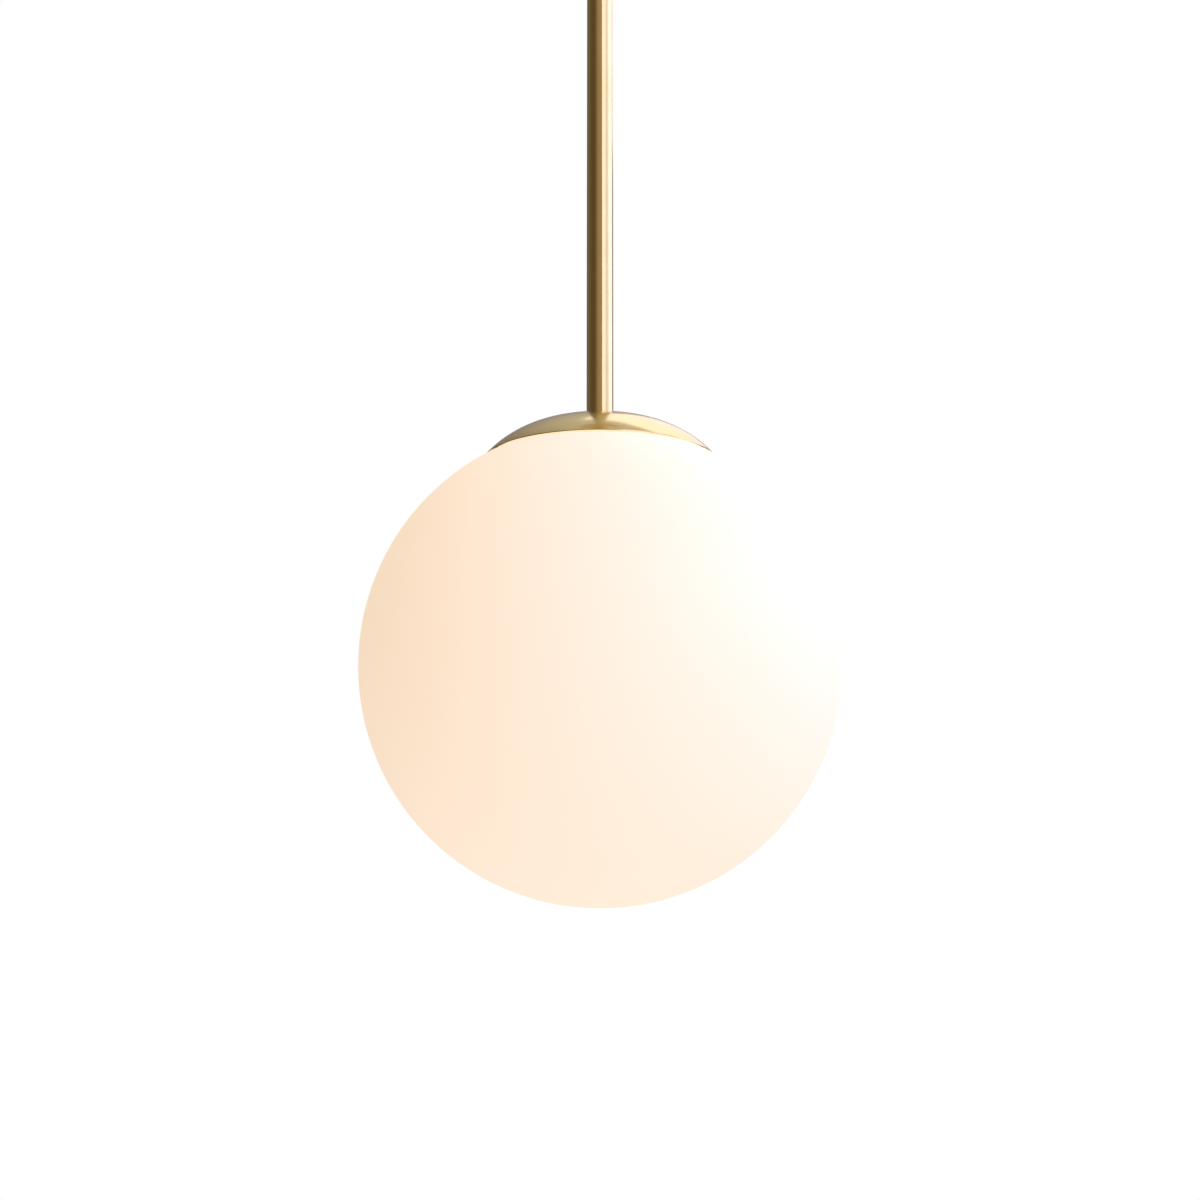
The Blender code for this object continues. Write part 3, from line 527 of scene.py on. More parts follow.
def finish(name, light, dark, roughness, metallic=0.0, run="even", grain=0.5 * MM, relief=0.006 * MM,
           patch=18 * MM, spread=0.05, centre=(0, 0, 0), settings=None):
    """A Principled finish. Sizes are in metres, and settings go straight onto the shader's own sockets."""
    made = bpy.data.materials.new(name)
    made.use_nodes = True
    tree = made.node_tree
    shader = tree.nodes["Principled BSDF"]
    space = grain_space(tree, run, grain, centre)
    fine = add(tree, "ShaderNodeTexNoise", {"Vector": space, "Scale": 1.0, "Detail": 2.0}).outputs[0]
    place = add(tree, "ShaderNodeTexCoord").outputs["Object"]
    slow = add(tree, "ShaderNodeTexNoise", {"Vector": place, "Scale": 1 / patch, "Detail": 3.0}).outputs[0]
    tones = {0: slow, 6: linear(dark), 7: linear(light)}
    tone = add(tree, "ShaderNodeMix", tones, data_type="RGBA").outputs[2]
    reach = {"Value": fine, "From Min": 0.3, "From Max": 0.7, "To Min": roughness - spread,
             "To Max": roughness + spread}
    rough = add(tree, "ShaderNodeMapRange", reach).outputs[0]
    bump = add(tree, "ShaderNodeBump", {"Height": fine, "Strength": 1.0, "Distance": relief}).outputs[0]
    tree.links.new(tone, shader.inputs["Base Color"])
    tree.links.new(rough, shader.inputs["Roughness"])
    tree.links.new(bump, shader.inputs["Normal"])
    shader.inputs["Metallic"].default_value = metallic
    for socket, value in (settings or {}).items():
        shader.inputs[socket].default_value = value
    print(f"{name}: roughness {roughness}, metallic {metallic}")
    return made


# %% [markdown]
# ## Satin brass
#
# The cap, canopy and stem are satin brass under a clear lacquer. The finish comes from fine abrasive: on
# the spun parts it runs in rings, because they are polished on the lathe, and on the stem it runs along the
# tube. The scratches are a few hundredths of a millimetre apart, too fine to show, so they are drawn some
# 0.5 mm apart and very shallow. To the eye they give a soft, broad highlight with slight streaks in it. The
# small turned parts are polished brighter, and the ball nuts stand off the main axis, so their rings are
# centred on each.

# %% Satin brass
BRASS_LIGHT, BRASS_DARK = "F0DFAE", "E6D29C"
spun_brass = finish("spun_satin_brass", BRASS_LIGHT, BRASS_DARK, 0.17, 1.0, run="rings")
drawn_brass = finish("drawn_satin_brass", BRASS_LIGHT, BRASS_DARK, 0.14, 1.0, run="along", grain=0.4 * MM)
turned_brass = finish("turned_brass", "F1E0B0", "E8D49F", 0.15, 1.0, run="rings", grain=0.25 * MM,
                      spread=0.04)

# %% [markdown]
# ## Plated and sprung steel
#
# The crossbar, the plate, the nuts and the pins are cold-rolled steel with bright zinc plating. It is a
# cool grey with a faint cloudiness, from the crystals and the passivation bath. The spring clips are
# hardened strip, tempered brown grey and oiled. The earth screw is zinc plate dyed green, so it is still a
# metal.

# %% Steels
zinc = finish("zinc_plated_steel", "C6C9CC", "A9AEB3", 0.32, 1.0, grain=0.35 * MM, patch=3 * MM, spread=0.08)
turned_zinc = finish("turned_zinc_plate", "C9CCCE", "B0B4B8", 0.28, 1.0, run="rings", grain=0.2 * MM,
                     patch=4 * MM)
tempered = finish("tempered_spring_steel", "9A9791", "77736D", 0.3, 1.0, grain=0.3 * MM, patch=5 * MM)
green_zinc = finish("green_dyed_zinc", "4C9A55", "3A8246", 0.34, 1.0, grain=0.2 * MM, patch=2 * MM)

# %% [markdown]
# ## Contact metals
#
# The contacts and terminals are stamped from half-hard sheet brass, left bare, so they are yellower than
# the lacquered outside and a little dull. The lamp's own cap is brass with a nickel plate: a warm, bright
# grey.

# %% Contact metals
contact_brass = finish("stamped_contact_brass", "DFC06A", "C2A04E", 0.3, 1.0, grain=0.3 * MM, patch=4 * MM)
nickel = finish("nickel_plate", "CFCBC0", "BCB7AA", 0.2, 1.0, run="rings", grain=0.3 * MM, patch=6 * MM)

# %% [markdown]
# ## Porcelain, nylon and silicone
#
# The lampholder is glazed porcelain, which stands the lamp's heat. The glaze is a clear glass coat, 0.2 mm
# thick, that pools in slow ripples over an off-white body. The terminal block is moulded nylon with the
# fine texture of a spark-eroded mould, drawn at 0.15 mm. Silicone is soft and waxy, lets a little light in,
# and has no sharp highlight.

# %% Insulators
porcelain = finish("glazed_porcelain", "F2EFE7", "E9E4D8", 0.38, grain=2.5 * MM, relief=0.03 * MM,
                   patch=9 * MM,
                   settings={"IOR": 1.54, "Coat Weight": 1.0, "Coat Roughness": 0.05, "Coat IOR": 1.5})
nylon = finish("moulded_nylon", "F0EEE8", "E4E1D8", 0.48, grain=0.15 * MM, relief=0.008 * MM, patch=6 * MM,
               settings={"IOR": 1.53, "Subsurface Weight": 0.1, "Subsurface Scale": 1 * MM})
silicone = finish("moulded_silicone", "EDE9DF", "DFDACD", 0.6, grain=0.4 * MM, patch=6 * MM, spread=0.08,
                  settings={"IOR": 1.41, "Subsurface Weight": 0.25, "Subsurface Scale": 1.5 * MM})

# %% [markdown]
# ## Cable sheath and insulation
#
# The flex has an extruded PVC sheath. It comes out of the die with faint lines along it and a soft gloss.
# The leads' insulation is the same, in brown, blue and green with yellow. The earth lead's two colours are
# two strips that meet along the wire, so they are read from the wire's own UV map, whose V runs once round.

# %% Cable finishes
PVC = {"IOR": 1.53, "Specular IOR Level": 0.45}
sheath = finish("extruded_sheath", "DDD9CE", "D0CBBE", 0.42, run="along", patch=8 * MM, settings=PVC)
brown_pvc = finish("brown_insulation", "74462A", "63391F", 0.36, run="cable", patch=5 * MM, settings=PVC)
blue_pvc = finish("blue_insulation", "3068B4", "25559A", 0.36, run="cable", patch=5 * MM, settings=PVC)
green_pvc = finish("green_yellow_insulation", "4F9A3C", "438A33", 0.36, run="cable", patch=5 * MM,
                   settings=PVC)
tree = green_pvc.node_tree
along_wire = add(tree, "ShaderNodeTexCoord").outputs["UV"]
round_wire = add(tree, "ShaderNodeSeparateXYZ", {"Vector": along_wire}).outputs["Y"]
strip = add(tree, "ShaderNodeMath", {0: round_wire, 1: 0.3}, operation="LESS_THAN").outputs[0]
base = tree.nodes["Principled BSDF"].inputs["Base Color"]
two_tones = {0: strip, 6: base.links[0].from_socket, 7: linear("E3C52E")}
tree.links.new(add(tree, "ShaderNodeMix", two_tones, data_type="RGBA").outputs[2], base)

# %% [markdown]
# ## Etched opal glass
#
# Opal glass is milky all through, and this globe is etched in acid outside, so it has no mirror-like shine.
# The lamp inside lights it evenly: the milky wall scatters the light until no bulb shows. A warm, even
# emission is painted light: it stands for that glow, and it also keeps the shaded left side of the globe
# warm and pale. The body is a faintly blue white, because opal scatters blue light back, and it takes the
# soft boxes' light on the right. The etch is a grain of about 0.1 mm, drawn at 0.8 mm so that it shows, and
# the tone drifts a little over some 70 mm, as the thickness of a blown wall does.
#
# The lamp's own envelope is clear glass with a thin white powder inside, a cooler white that also glows.
# The insulator between the lamp's two contacts is black glass, poured in hot: it is glossy, and a little
# uneven.

# %% Glass
# The opal's emission is painted light: a warm glow that keeps the globe's shaded side pale.
opal = finish("etched_opal_glass_painted_glow", "DAE0F5", "D6DCF1", 0.55, grain=0.8 * MM, relief=0.002 * MM, patch=70 * MM,
              settings={"IOR": 1.5, "Emission Color": linear("FFE2BB"), "Emission Strength": 0.73})
lamp_glass = finish("powder_coated_lamp_glass", "F8F6F0", "F1EEE6", 0.22, grain=6 * MM, patch=20 * MM,
                    settings={"IOR": 1.5, "Emission Color": linear("FFE9CC"), "Emission Strength": 0.5})
black_glass = finish("black_glass", "1E1C20", "121114", 0.12, grain=1.5 * MM, relief=0.02 * MM, patch=4 * MM,
                     settings={"IOR": 1.52})
print(f"{len(bpy.data.materials)} materials")

# %% [markdown]
# ## The globe
#
# The real globe is blown in a round mould, and its top is cracked off and ground flat to a hole. A sphere
# primitive has no wall and no hole, so the wall's section is drawn instead: two arcs, joined at the ground
# edge.

# %% Globe
GLASS_WALL = 3 * MM
HOLE_R = 47 * MM
outer_start = math.degrees(math.acos(HOLE_R / GLOBE_R))
inner_start = math.degrees(math.acos(HOLE_R / (GLOBE_R - GLASS_WALL)))
outside = arc((0, 0), GLOBE_R, -90, outer_start, 72)
inside = arc((0, 0), GLOBE_R - GLASS_WALL, inner_start, -90, 60)
outside[-1] = (*outside[-1], 0.4 * MM)
inside[0] = (*inside[0], 0.4 * MM)
dress(turned("opal_globe", outside + inside, opal, (0, 0, GLOBE_Z), steps=144), "glass_globe")

# %% [markdown]
# ## The cap
#
# The cap is spun from one disc of sheet brass, so it is one thin wall: nearly flat in the middle, and steep
# at the rim, where the sheet is trimmed to a short straight edge and its corners are broken. The outer
# surface follows one formula, and the inner surface is the same one moved in square to it. Stations along
# the section are closer together near the rim, where it bends most.

# %% Cap
CAP_RISE = 22.5 * MM
CAP_WALL = 1.2 * MM
BORE_R = 5.2 * MM  # of every hole for the nipple


def cap_height(radius):
    return CAP_RISE * (1 - (radius / CAP_R) ** 2.8) ** 0.9


def cap_under(radius, depth):
    """The height of the surface that lies this far below the outer one, measured square to it."""
    step = 0.01 * MM
    slope = (cap_height(radius) - cap_height(radius + step)) / step
    return cap_height(radius) - depth * math.hypot(1, slope)


radii = [CAP_R * math.sin(math.radians(90 * i / 40)) for i in range(3, 38)]
outer = [(r, cap_height(r)) for r in radii]
inner = [(r, cap_under(r, CAP_WALL)) for r in radii if r < 0.93 * CAP_R]
rim = [(CAP_R, 0.6 * MM, 0.2 * MM), (CAP_R, 0, 0.08 * MM), (CAP_R - 1.1 * MM, 0.75 * MM, 0.2 * MM)]
hole = [(BORE_R, inner[0][1]), (BORE_R, cap_height(BORE_R))]
cap = turned("spun_cap", [*hole, *outer, *rim, *inner[::-1]], spun_brass, (0, 0, cap_low.z), steps=160)
dress(cap, "cap_dome")

# %% [markdown]
# ## The stem and its nipple
#
# The stem is drawn tube with a turned chamfer at each end. Inside, each end has a thicker seat for its
# thread. The nipple below it is lamp pipe: zinc-plated steel tube, threaded all along at 1 mm a turn, that
# the cap, the plate and the lampholder are clamped on. The flex runs down the middle of both.

# %% Stem, nipple and flex
STEM_BORE_R = 6 * MM
SEAT = 18 * MM
PIPE_PITCH = 1 * MM
PIPE_DEPTH = 0.25 * MM
PIPE_BORE_R = 3.4 * MM
ends = [(BORE_R, stem_low.z), (STEM_R, stem_low.z, 0.3 * MM), (STEM_R, stem_high.z, 0.3 * MM),
        (BORE_R, stem_high.z)]
bore = [(BORE_R, stem_high.z - SEAT), (STEM_BORE_R, stem_high.z - SEAT - 1 * MM),
        (STEM_BORE_R, stem_low.z + SEAT + 1 * MM), (BORE_R, stem_low.z + SEAT)]
dress(turned("drawn_stem", ends + bore, drawn_brass), "stem_tube")

low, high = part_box("stem_nipple")
pipe_mean = high.x - PIPE_DEPTH
wall = rows(pipe_mean, low.z, high.z, PIPE_PITCH)
corners = [(PIPE_BORE_R, low.z), *wall, (PIPE_BORE_R, high.z)]
nipple = turned("threaded_nipple", corners, turned_zinc, steps=40)
dress(thread(nipple, [pipe_mean], PIPE_DEPTH, PIPE_PITCH, low.z, high.z, (0, 0, 0)), "stem_nipple")

low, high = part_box("stem_flex")
dress(turned("round_flex", [(0, low.z), (high.x, low.z, 0.3 * MM), (high.x, high.z, 0.3 * MM), (0, high.z)],
             sheath, steps=40), "stem_flex")

# %% [markdown]
# ## The canopy
#
# The canopy is a pan spun from sheet brass, with a generous corner where the sheet flows from the face to
# the side. Two ball nuts hold it up on studs, so it has two holes, drilled after spinning.

# %% Canopy
pan_low, pan_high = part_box("canopy_pan")
stud_low, stud_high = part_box("canopy_stud_right")
PAN_R = pan_high.x
PAN_WALL = 1.2 * MM
PAN_CORNER = 5 * MM
PAN_DRILL = 4 * MM
STUD_X = (stud_low.x + stud_high.x) / 2
STUD_BORE_R = 2.35 * MM
floor_z = pan_low.z + PAN_WALL
corners = [(BORE_R, pan_low.z, 0.2 * MM), (PAN_R, pan_low.z, PAN_CORNER), (PAN_R, pan_high.z, 0.5 * MM),
           (PAN_R - PAN_WALL, pan_high.z, 0.3 * MM), (PAN_R - PAN_WALL, floor_z, PAN_CORNER - PAN_WALL),
           (BORE_R, floor_z, 0.2 * MM)]
pan = turned("spun_canopy", corners, spun_brass, steps=144, facets=8)
for side in (-1, 1):
    drill(pan, STUD_BORE_R, PAN_DRILL, (side * STUD_X, 0, pan_low.z))
dress(pan, "canopy_pan")

# %% [markdown]
# ## Crossbar and studs
#
# The crossbar is pressed from 2 mm steel: an outline with rounded corners, two slots for the ceiling box's
# screws, and a tab at the back for the terminals. The slots are cut as one long outline each, with round
# ends. The studs are M4 rod, so their V thread has a pitch of 0.7 mm, and their lower ends are pointed so
# that they find the canopy's holes.

# %% Crossbar
bar_low, bar_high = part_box("crossbar")
BAR_WALL = bar_high.z - bar_low.z
BAR_WIDTH = 2 * -bar_low.y
SLOT_X, SLOT_HALF, SLOT_R = 27 * MM, 8.5 * MM, 2.5 * MM
SLOT_ROUND = SLOT_R * 0.999  # a hair under the half width, so that the two rounded corners don't meet
TAB_HALF = 6 * MM
middle_z = (bar_low.z + bar_high.z) / 2
half, edge, back = bar_high.x, BAR_WIDTH / 2, bar_high.y
corners = [(-half, -edge, 2 * MM), (half, -edge, 2 * MM), (half, edge, 2 * MM), (TAB_HALF, edge, 1.5 * MM),
           (TAB_HALF, back, 2 * MM), (-TAB_HALF, back, 2 * MM), (-TAB_HALF, edge, 1.5 * MM),
           (-half, edge, 2 * MM)]
at_bar = Matrix.Translation((0, 0, middle_z))
bar = pressed("pressed_crossbar", corners, BAR_WALL, zinc, at_bar, facets=6, upright=False)
for side in (-1, 1):
    x = side * SLOT_X
    slot = [(x - SLOT_HALF, -SLOT_R, SLOT_ROUND), (x + SLOT_HALF, -SLOT_R, SLOT_ROUND),
            (x + SLOT_HALF, SLOT_R, SLOT_ROUND), (x - SLOT_HALF, SLOT_R, SLOT_ROUND)]
    combine(bar, "DIFFERENCE", pressed("slot", slot, 3 * BAR_WALL, zinc, at_bar, facets=8, upright=False))
    drill(bar, STUD_BORE_R, 3 * BAR_WALL, (side * STUD_X, 0, middle_z))
dress(soften(bar, 0.25 * MM), "crossbar")

# %% Studs and their lock nuts
STUD_PITCH = 0.7 * MM
STUD_DEPTH = 0.2 * MM
STUD_POINT = 0.8 * MM
for word, side in (("left", -1), ("right", 1)):
    stud_r, at = (stud_high.x - stud_low.x) / 2, (side * STUD_X, 0, 0)
    mean = stud_r - STUD_DEPTH
    wall = rows(mean, stud_low.z + STUD_POINT, stud_high.z, STUD_PITCH)
    corners = [(0, stud_low.z), (mean * 0.6, stud_low.z), *wall, (0, stud_high.z)]
    stud = turned(f"threaded_stud_{word}", corners, turned_zinc, at, steps=24)
    dress(thread(stud, [mean], STUD_DEPTH, STUD_PITCH, stud_low.z, stud_high.z, at), f"canopy_stud_{word}")
    hex_nut(f"lock_nut_{word}", f"stud_nut_{word}", STUD_BORE_R, turned_zinc)

# %% [markdown]
# ## Ball nuts
#
# The two ball nuts are what shows below the canopy. Each is turned from bar: a small collar that bears on
# the pan, a neck, and a ball to turn it by, with a blind hole for the stud. They stand off the light's
# axis, so each has its own material, whose rings run round its own centre.

# %% Ball nuts
NUT_COLLAR_R, NUT_NECK_R = 3.9 * MM, 3.2 * MM
NUT_BORE_PAST_CENTRE = 2.6 * MM
for word, side in (("left", -1), ("right", 1)):
    low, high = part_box(f"ball_nut_{word}")
    at = (side * STUD_X, 0, high.z)
    ball_r = (high.x - low.x) / 2
    centre_z = low.z + ball_r - high.z
    bore_z = centre_z - NUT_BORE_PAST_CENTRE
    corners = [(STUD_BORE_R, 0, 0.2 * MM), (STUD_BORE_R, bore_z), (0, bore_z - 1 * MM),
               *arc((0, centre_z), ball_r, -90, 56, 22), (NUT_NECK_R, -2 * MM, 0.3 * MM),
               (NUT_COLLAR_R, -1.5 * MM, 0.2 * MM), (NUT_COLLAR_R, 0, 0.3 * MM)]
    polished = finish(f"polished_brass_{word}", "F2E2B4", "EAD7A5", 0.13, 1.0, run="rings", grain=0.25 * MM,
                      spread=0.04, centre=at)
    dress(turned(f"turned_ball_{word}", corners, polished, at, steps=64), f"ball_nut_{word}")

# %% [markdown]
# ## Terminal block
#
# The block under the tab is moulded in one piece with three ways. Grooves between the ways keep their live
# parts apart, and each way has an entry at both ends and a screw from below, on a short brass tube. The
# block is cut from a solid, and then all its edges are rounded, as the mould leaves them.

# %% Terminal block
low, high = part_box("terminal_block")
size, centre = high - low, (low + high) / 2
WAY_PITCH = 8.5 * MM
ENTRY_Z = centre.z - 1 * MM
GROOVE_WIDTH, GROOVE_DEPTH = 1.4 * MM, 2.4 * MM  # centred on a face, so half the depth is cut
ENTRY_R, TUBE_R, TUBE_BORE_R = 2 * MM, 1.9 * MM, 1.45 * MM
terminal = block("moulded_terminals", size, centre, nylon)
for side in (-1, 1):
    x = side * WAY_PITCH / 2
    below = (GROOVE_WIDTH, size.y + 1 * MM, GROOVE_DEPTH)
    beside = (GROOVE_WIDTH, GROOVE_DEPTH, size.z + 1 * MM)
    grooves = [block("groove", below, (x, centre.y, low.z), nylon)]
    grooves += [block("groove", beside, (x, y, centre.z), nylon) for y in (low.y, high.y)]
    combine(terminal, "DIFFERENCE", *grooves)
for i in (-1, 0, 1):
    drill(terminal, ENTRY_R, 2 * size.y, (i * WAY_PITCH, centre.y, ENTRY_Z), "Y", steps=32)
    drill(terminal, TUBE_R, size.z, (i * WAY_PITCH, centre.y, low.z), steps=32)
soften(terminal, 0.4 * MM)
dress(terminal, "terminal_block")

# %% Terminal tubes and screws
for i, word in ((-1, "live"), (0, "earth"), (1, "neutral")):
    x = i * WAY_PITCH
    along = Matrix.Translation((x, centre.y, ENTRY_Z)) @ QUARTER["Y"]
    half = size.y / 2 - 1.5 * MM
    ring = [(TUBE_BORE_R, -half, 0.1 * MM), (TUBE_R, -half, 0.1 * MM), (TUBE_R, half, 0.1 * MM),
            (TUBE_BORE_R, half, 0.1 * MM)]
    tube = turned(f"terminal_tube_{word}", ring, contact_brass, steps=32, facets=2, turn=along)
    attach(tube, "canopy")
    low_s, high_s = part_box(f"terminal_screw_{word}")
    screw_r = (high_s.x - low_s.x) / 2
    corners = [(0, low_s.z), (screw_r, low_s.z, 0.2 * MM), (screw_r, high_s.z - 0.5 * MM),
               (0.9 * MM, high_s.z), (0, high_s.z)]
    screw = turned(f"slotted_screw_{word}", corners, contact_brass, (x, centre.y, 0), steps=32, facets=2)
    slot = block("slot", (4 * MM, 0.5 * MM, 1.6 * MM), (x, centre.y, low_s.z), contact_brass)
    dress(combine(screw, "DIFFERENCE", slot), f"terminal_screw_{word}")

# %% Earth screw
low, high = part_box("earth_screw")
head_r, at = (high.x - low.x) / 2, ((low.x + high.x) / 2, 0, 0)
corners = [(0, high.z), (head_r, high.z), (head_r, high.z - 0.9 * MM, 0.3 * MM), (2.9 * MM, high.z - 1 * MM),
           (2.8 * MM, low.z, 0.8 * MM), (0, low.z)]
screw = turned("green_earth_screw", corners, green_zinc, at, steps=48)
CROSS_LONG, CROSS_WIDE, CROSS_DEEP = 3.4 * MM, 0.8 * MM, 2 * MM
arms = ((CROSS_LONG, CROSS_WIDE, CROSS_DEEP), (CROSS_WIDE, CROSS_LONG, CROSS_DEEP))
cross = [block("cross", arm, (at[0], 0, low.z), green_zinc) for arm in arms]
dress(combine(screw, "DIFFERENCE", *cross), "earth_screw")

# %% [markdown]
# ## Leads
#
# Three insulated leads come up out of the swivel's spigot, fan out, and go into the terminals. Their
# route's stops repeat the frame's: up inside the bore, over its edge, across and into the block.

# %% Leads
screw_low, screw_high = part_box("swivel_screw_left")
PIVOT_Z = (screw_low.z + screw_high.z) / 2
SPIGOT_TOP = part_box("swivel_fork")[1].z
LEAD_R = 0.95 * MM
ways = ((-1, "live", brown_pvc, -0.75 * MM), (0, "earth", green_pvc, 1.45 * MM),
        (1, "neutral", blue_pvc, -0.75 * MM))
for i, word, pvc, start_y in ways:
    start_x, x = i * 1.3 * MM, i * WAY_PITCH
    stops = [(start_x, start_y, PIVOT_Z + 9.6 * MM), (start_x, start_y, SPIGOT_TOP + 1 * MM),
             (start_x * 2.4, 4.6 * MM, SPIGOT_TOP + 4.4 * MM), (x * 0.8, 9 * MM, ENTRY_Z),
             (x, centre.y - size.y / 2 + 3 * MM, ENTRY_Z)]
    dress(wire(f"insulated_lead_{word}", smooth_route(stops, 14), LEAD_R, pvc), f"lead_{word}")

# %% [markdown]
# ## Swivel fork
#
# The fork is turned from bar: a ball end, a straight body with one decorative groove, and a threaded spigot
# that goes up through the canopy. A slot is then milled across it for the tongue, a hole is drilled across
# for the pivot screws, and each side is counterbored for a screw's head. The washer and nut inside the
# canopy let it turn.

# %% Swivel fork
FORK_R = 11 * MM
SLOT_WIDTH = 11.8 * MM
SLOT_TOP = 8.6 * MM  # above the pivot
SCREW_BORE_R = 2.35 * MM
HEAD_R, HEAD_IN, HEAD_OUT = 3.2 * MM, 8 * MM, 9.7 * MM
THREAD_RUNOUT = 0.8 * MM
RELIEF_R = 4.6 * MM  # of the neck between a thread and a shoulder
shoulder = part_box("canopy_pan")[0].z - 0.3 * MM - PIVOT_Z
spigot = SPIGOT_TOP - PIVOT_Z
wall = rows(pipe_mean, shoulder + THREAD_RUNOUT, spigot, PIPE_PITCH)
corners = [*arc((0, 0), FORK_R, -90, 0, 20), (FORK_R, 13.6 * MM, 0.2 * MM),
           (FORK_R - 0.5 * MM, 14.1 * MM, 0.2 * MM), (FORK_R, 14.6 * MM, 0.2 * MM),
           (FORK_R, shoulder, 1 * MM), (RELIEF_R, shoulder), *wall, (PIPE_BORE_R, spigot),
           (PIPE_BORE_R, 4 * MM), (0, 4 * MM)]
pivot = (0, 0, PIVOT_Z)
fork = turned("turned_fork", corners, turned_brass, pivot, steps=72, facets=4)
thread(fork, [pipe_mean], PIPE_DEPTH, PIPE_PITCH, shoulder + THREAD_RUNOUT, spigot, pivot)
slot_size = (SLOT_WIDTH, 3 * FORK_R, 2 * FORK_R + SLOT_TOP)
slot = block("slot", slot_size, (0, 0, PIVOT_Z + SLOT_TOP / 2 - FORK_R), turned_brass)
combine(fork, "DIFFERENCE", slot)
drill(fork, SCREW_BORE_R, 4 * FORK_R, pivot, "X")
for side in (-1, 1):
    drill(fork, HEAD_R + 0.35 * MM, 6 * MM, (side * (HEAD_IN + 2.7 * MM), 0, PIVOT_Z), "X")
dress(fork, "swivel_fork")
washer("swivel_steel_washer", "swivel_washer", BORE_R, turned_zinc)
hex_nut("swivel_hex_nut", "swivel_nut", BORE_R, turned_zinc)

# %% Pivot screws
SHANK_R, tip = 2 * MM, 3.8 * MM
SLOT_TURN = Matrix.Rotation(math.radians(20), 4, "X")
for word, side in (("left", -1), ("right", 1)):
    corners = [(0, tip), (SHANK_R, tip, 0.4 * MM), (SHANK_R, HEAD_IN), (HEAD_R, HEAD_IN, 0.1 * MM),
               (HEAD_R, HEAD_OUT, 0.4 * MM), (0, HEAD_OUT)]
    turn = Matrix.Rotation(side * math.pi / 2, 4, "Y")
    screw = turned(f"pivot_screw_{word}", corners, contact_brass, pivot, steps=48, facets=3, turn=turn)
    place = (side * HEAD_OUT, 0, PIVOT_Z)
    slot = block("slot", (1.6 * MM, 10 * MM, 0.9 * MM), place, contact_brass, SLOT_TURN)
    dress(combine(screw, "DIFFERENCE", slot), f"swivel_screw_{word}")

# %% [markdown]
# ## Tongue
#
# The tongue is the stem's upper end: a turned collar with two fine grooves, a threaded peg below it that
# screws into the stem, and a flat blade milled on top that tilts in the fork. The blade's end is round
# about the pivot, so it clears the slot at every angle.

# %% Tongue
COLLAR_R = 8.5 * MM
COLLAR_TOP, COLLAR_LOW = -11.6 * MM, -17 * MM
BLADE_R, BLADE_WIDTH = 7 * MM, 11.2 * MM
GROOVES, CUT = (-13.6 * MM, -15 * MM), 0.3 * MM
peg_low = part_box("swivel_tongue")[0].z - PIVOT_Z
peg_top = COLLAR_LOW - 0.5 * MM
grooves = []
for z in GROOVES:
    grooves = [(COLLAR_R, z - CUT), (COLLAR_R - CUT, z), (COLLAR_R, z + CUT), *grooves]
wall = rows(pipe_mean, peg_low, peg_top, PIPE_PITCH)
corners = [(0, peg_low), *wall, (RELIEF_R, COLLAR_LOW), (COLLAR_R, COLLAR_LOW, 0.8 * MM), *grooves,
           (COLLAR_R, COLLAR_TOP, 0.8 * MM), (0, COLLAR_TOP)]
tongue = turned("turned_tongue", corners, turned_brass, pivot, steps=72, facets=4)
thread(tongue, [pipe_mean], PIPE_DEPTH, PIPE_PITCH, peg_low, peg_top, pivot)
foot = COLLAR_TOP - 1 * MM
outline_blade = [(-BLADE_R, foot), (BLADE_R, foot), *arc((0, 0), BLADE_R, 0, 180, 32)]
quarter_turn = Matrix.Translation(pivot) @ Matrix.Rotation(math.pi / 2, 4, "Z")
blade = soften(pressed("blade", outline_blade, BLADE_WIDTH, turned_brass, quarter_turn), 0.3 * MM)
combine(tongue, "UNION", blade)
drill(tongue, SCREW_BORE_R, 4 * FORK_R, pivot, "X")
drill(tongue, PIPE_BORE_R, 80 * MM, pivot)
dress(tongue, "swivel_tongue")

# %% [markdown]
# ## Under the cap
#
# A washer and a nut pull the cap up against the stem. A soft silicone ring lies between the cap's rim and
# the glass, so that brass never touches it. The ring's top follows the cap's inner surface, and its
# underside follows the sphere.

# %% Cap fixings and gasket
washer("cap_steel_washer", "cap_washer", BORE_R, turned_zinc)
hex_nut("cap_hex_nut", "cap_nut", BORE_R, turned_zinc)
hex_nut("plate_hex_nut", "plate_nut", BORE_R, turned_zinc)
SEAL_IN, SEAL_OUT, SEAL_GAP = 49 * MM, 56 * MM, 0.3 * MM
stations = [SEAL_IN + (SEAL_OUT - SEAL_IN) * i / 8 for i in range(9)]
upper = [(r, cap_low.z + cap_under(r, CAP_WALL + 1.5 * SEAL_GAP)) for r in stations]
lower = [(r, GLOBE_Z + math.sqrt((GLOBE_R + SEAL_GAP) ** 2 - r**2)) for r in stations]
for side in (upper, lower):
    side[0] = (*side[0], 0.3 * MM)
    side[-1] = (*side[-1], 0.3 * MM)
dress(turned("silicone_ring", [*upper, *lower[::-1]], silicone, steps=120, facets=3), "glass_gasket")

# %% [markdown]
# ## Holder plate
#
# The plate is pressed from steel, and its edge is rolled so that it doesn't cut the leads. Three pairs of
# ears hang from it, and each pair holds one spring clip's pin.

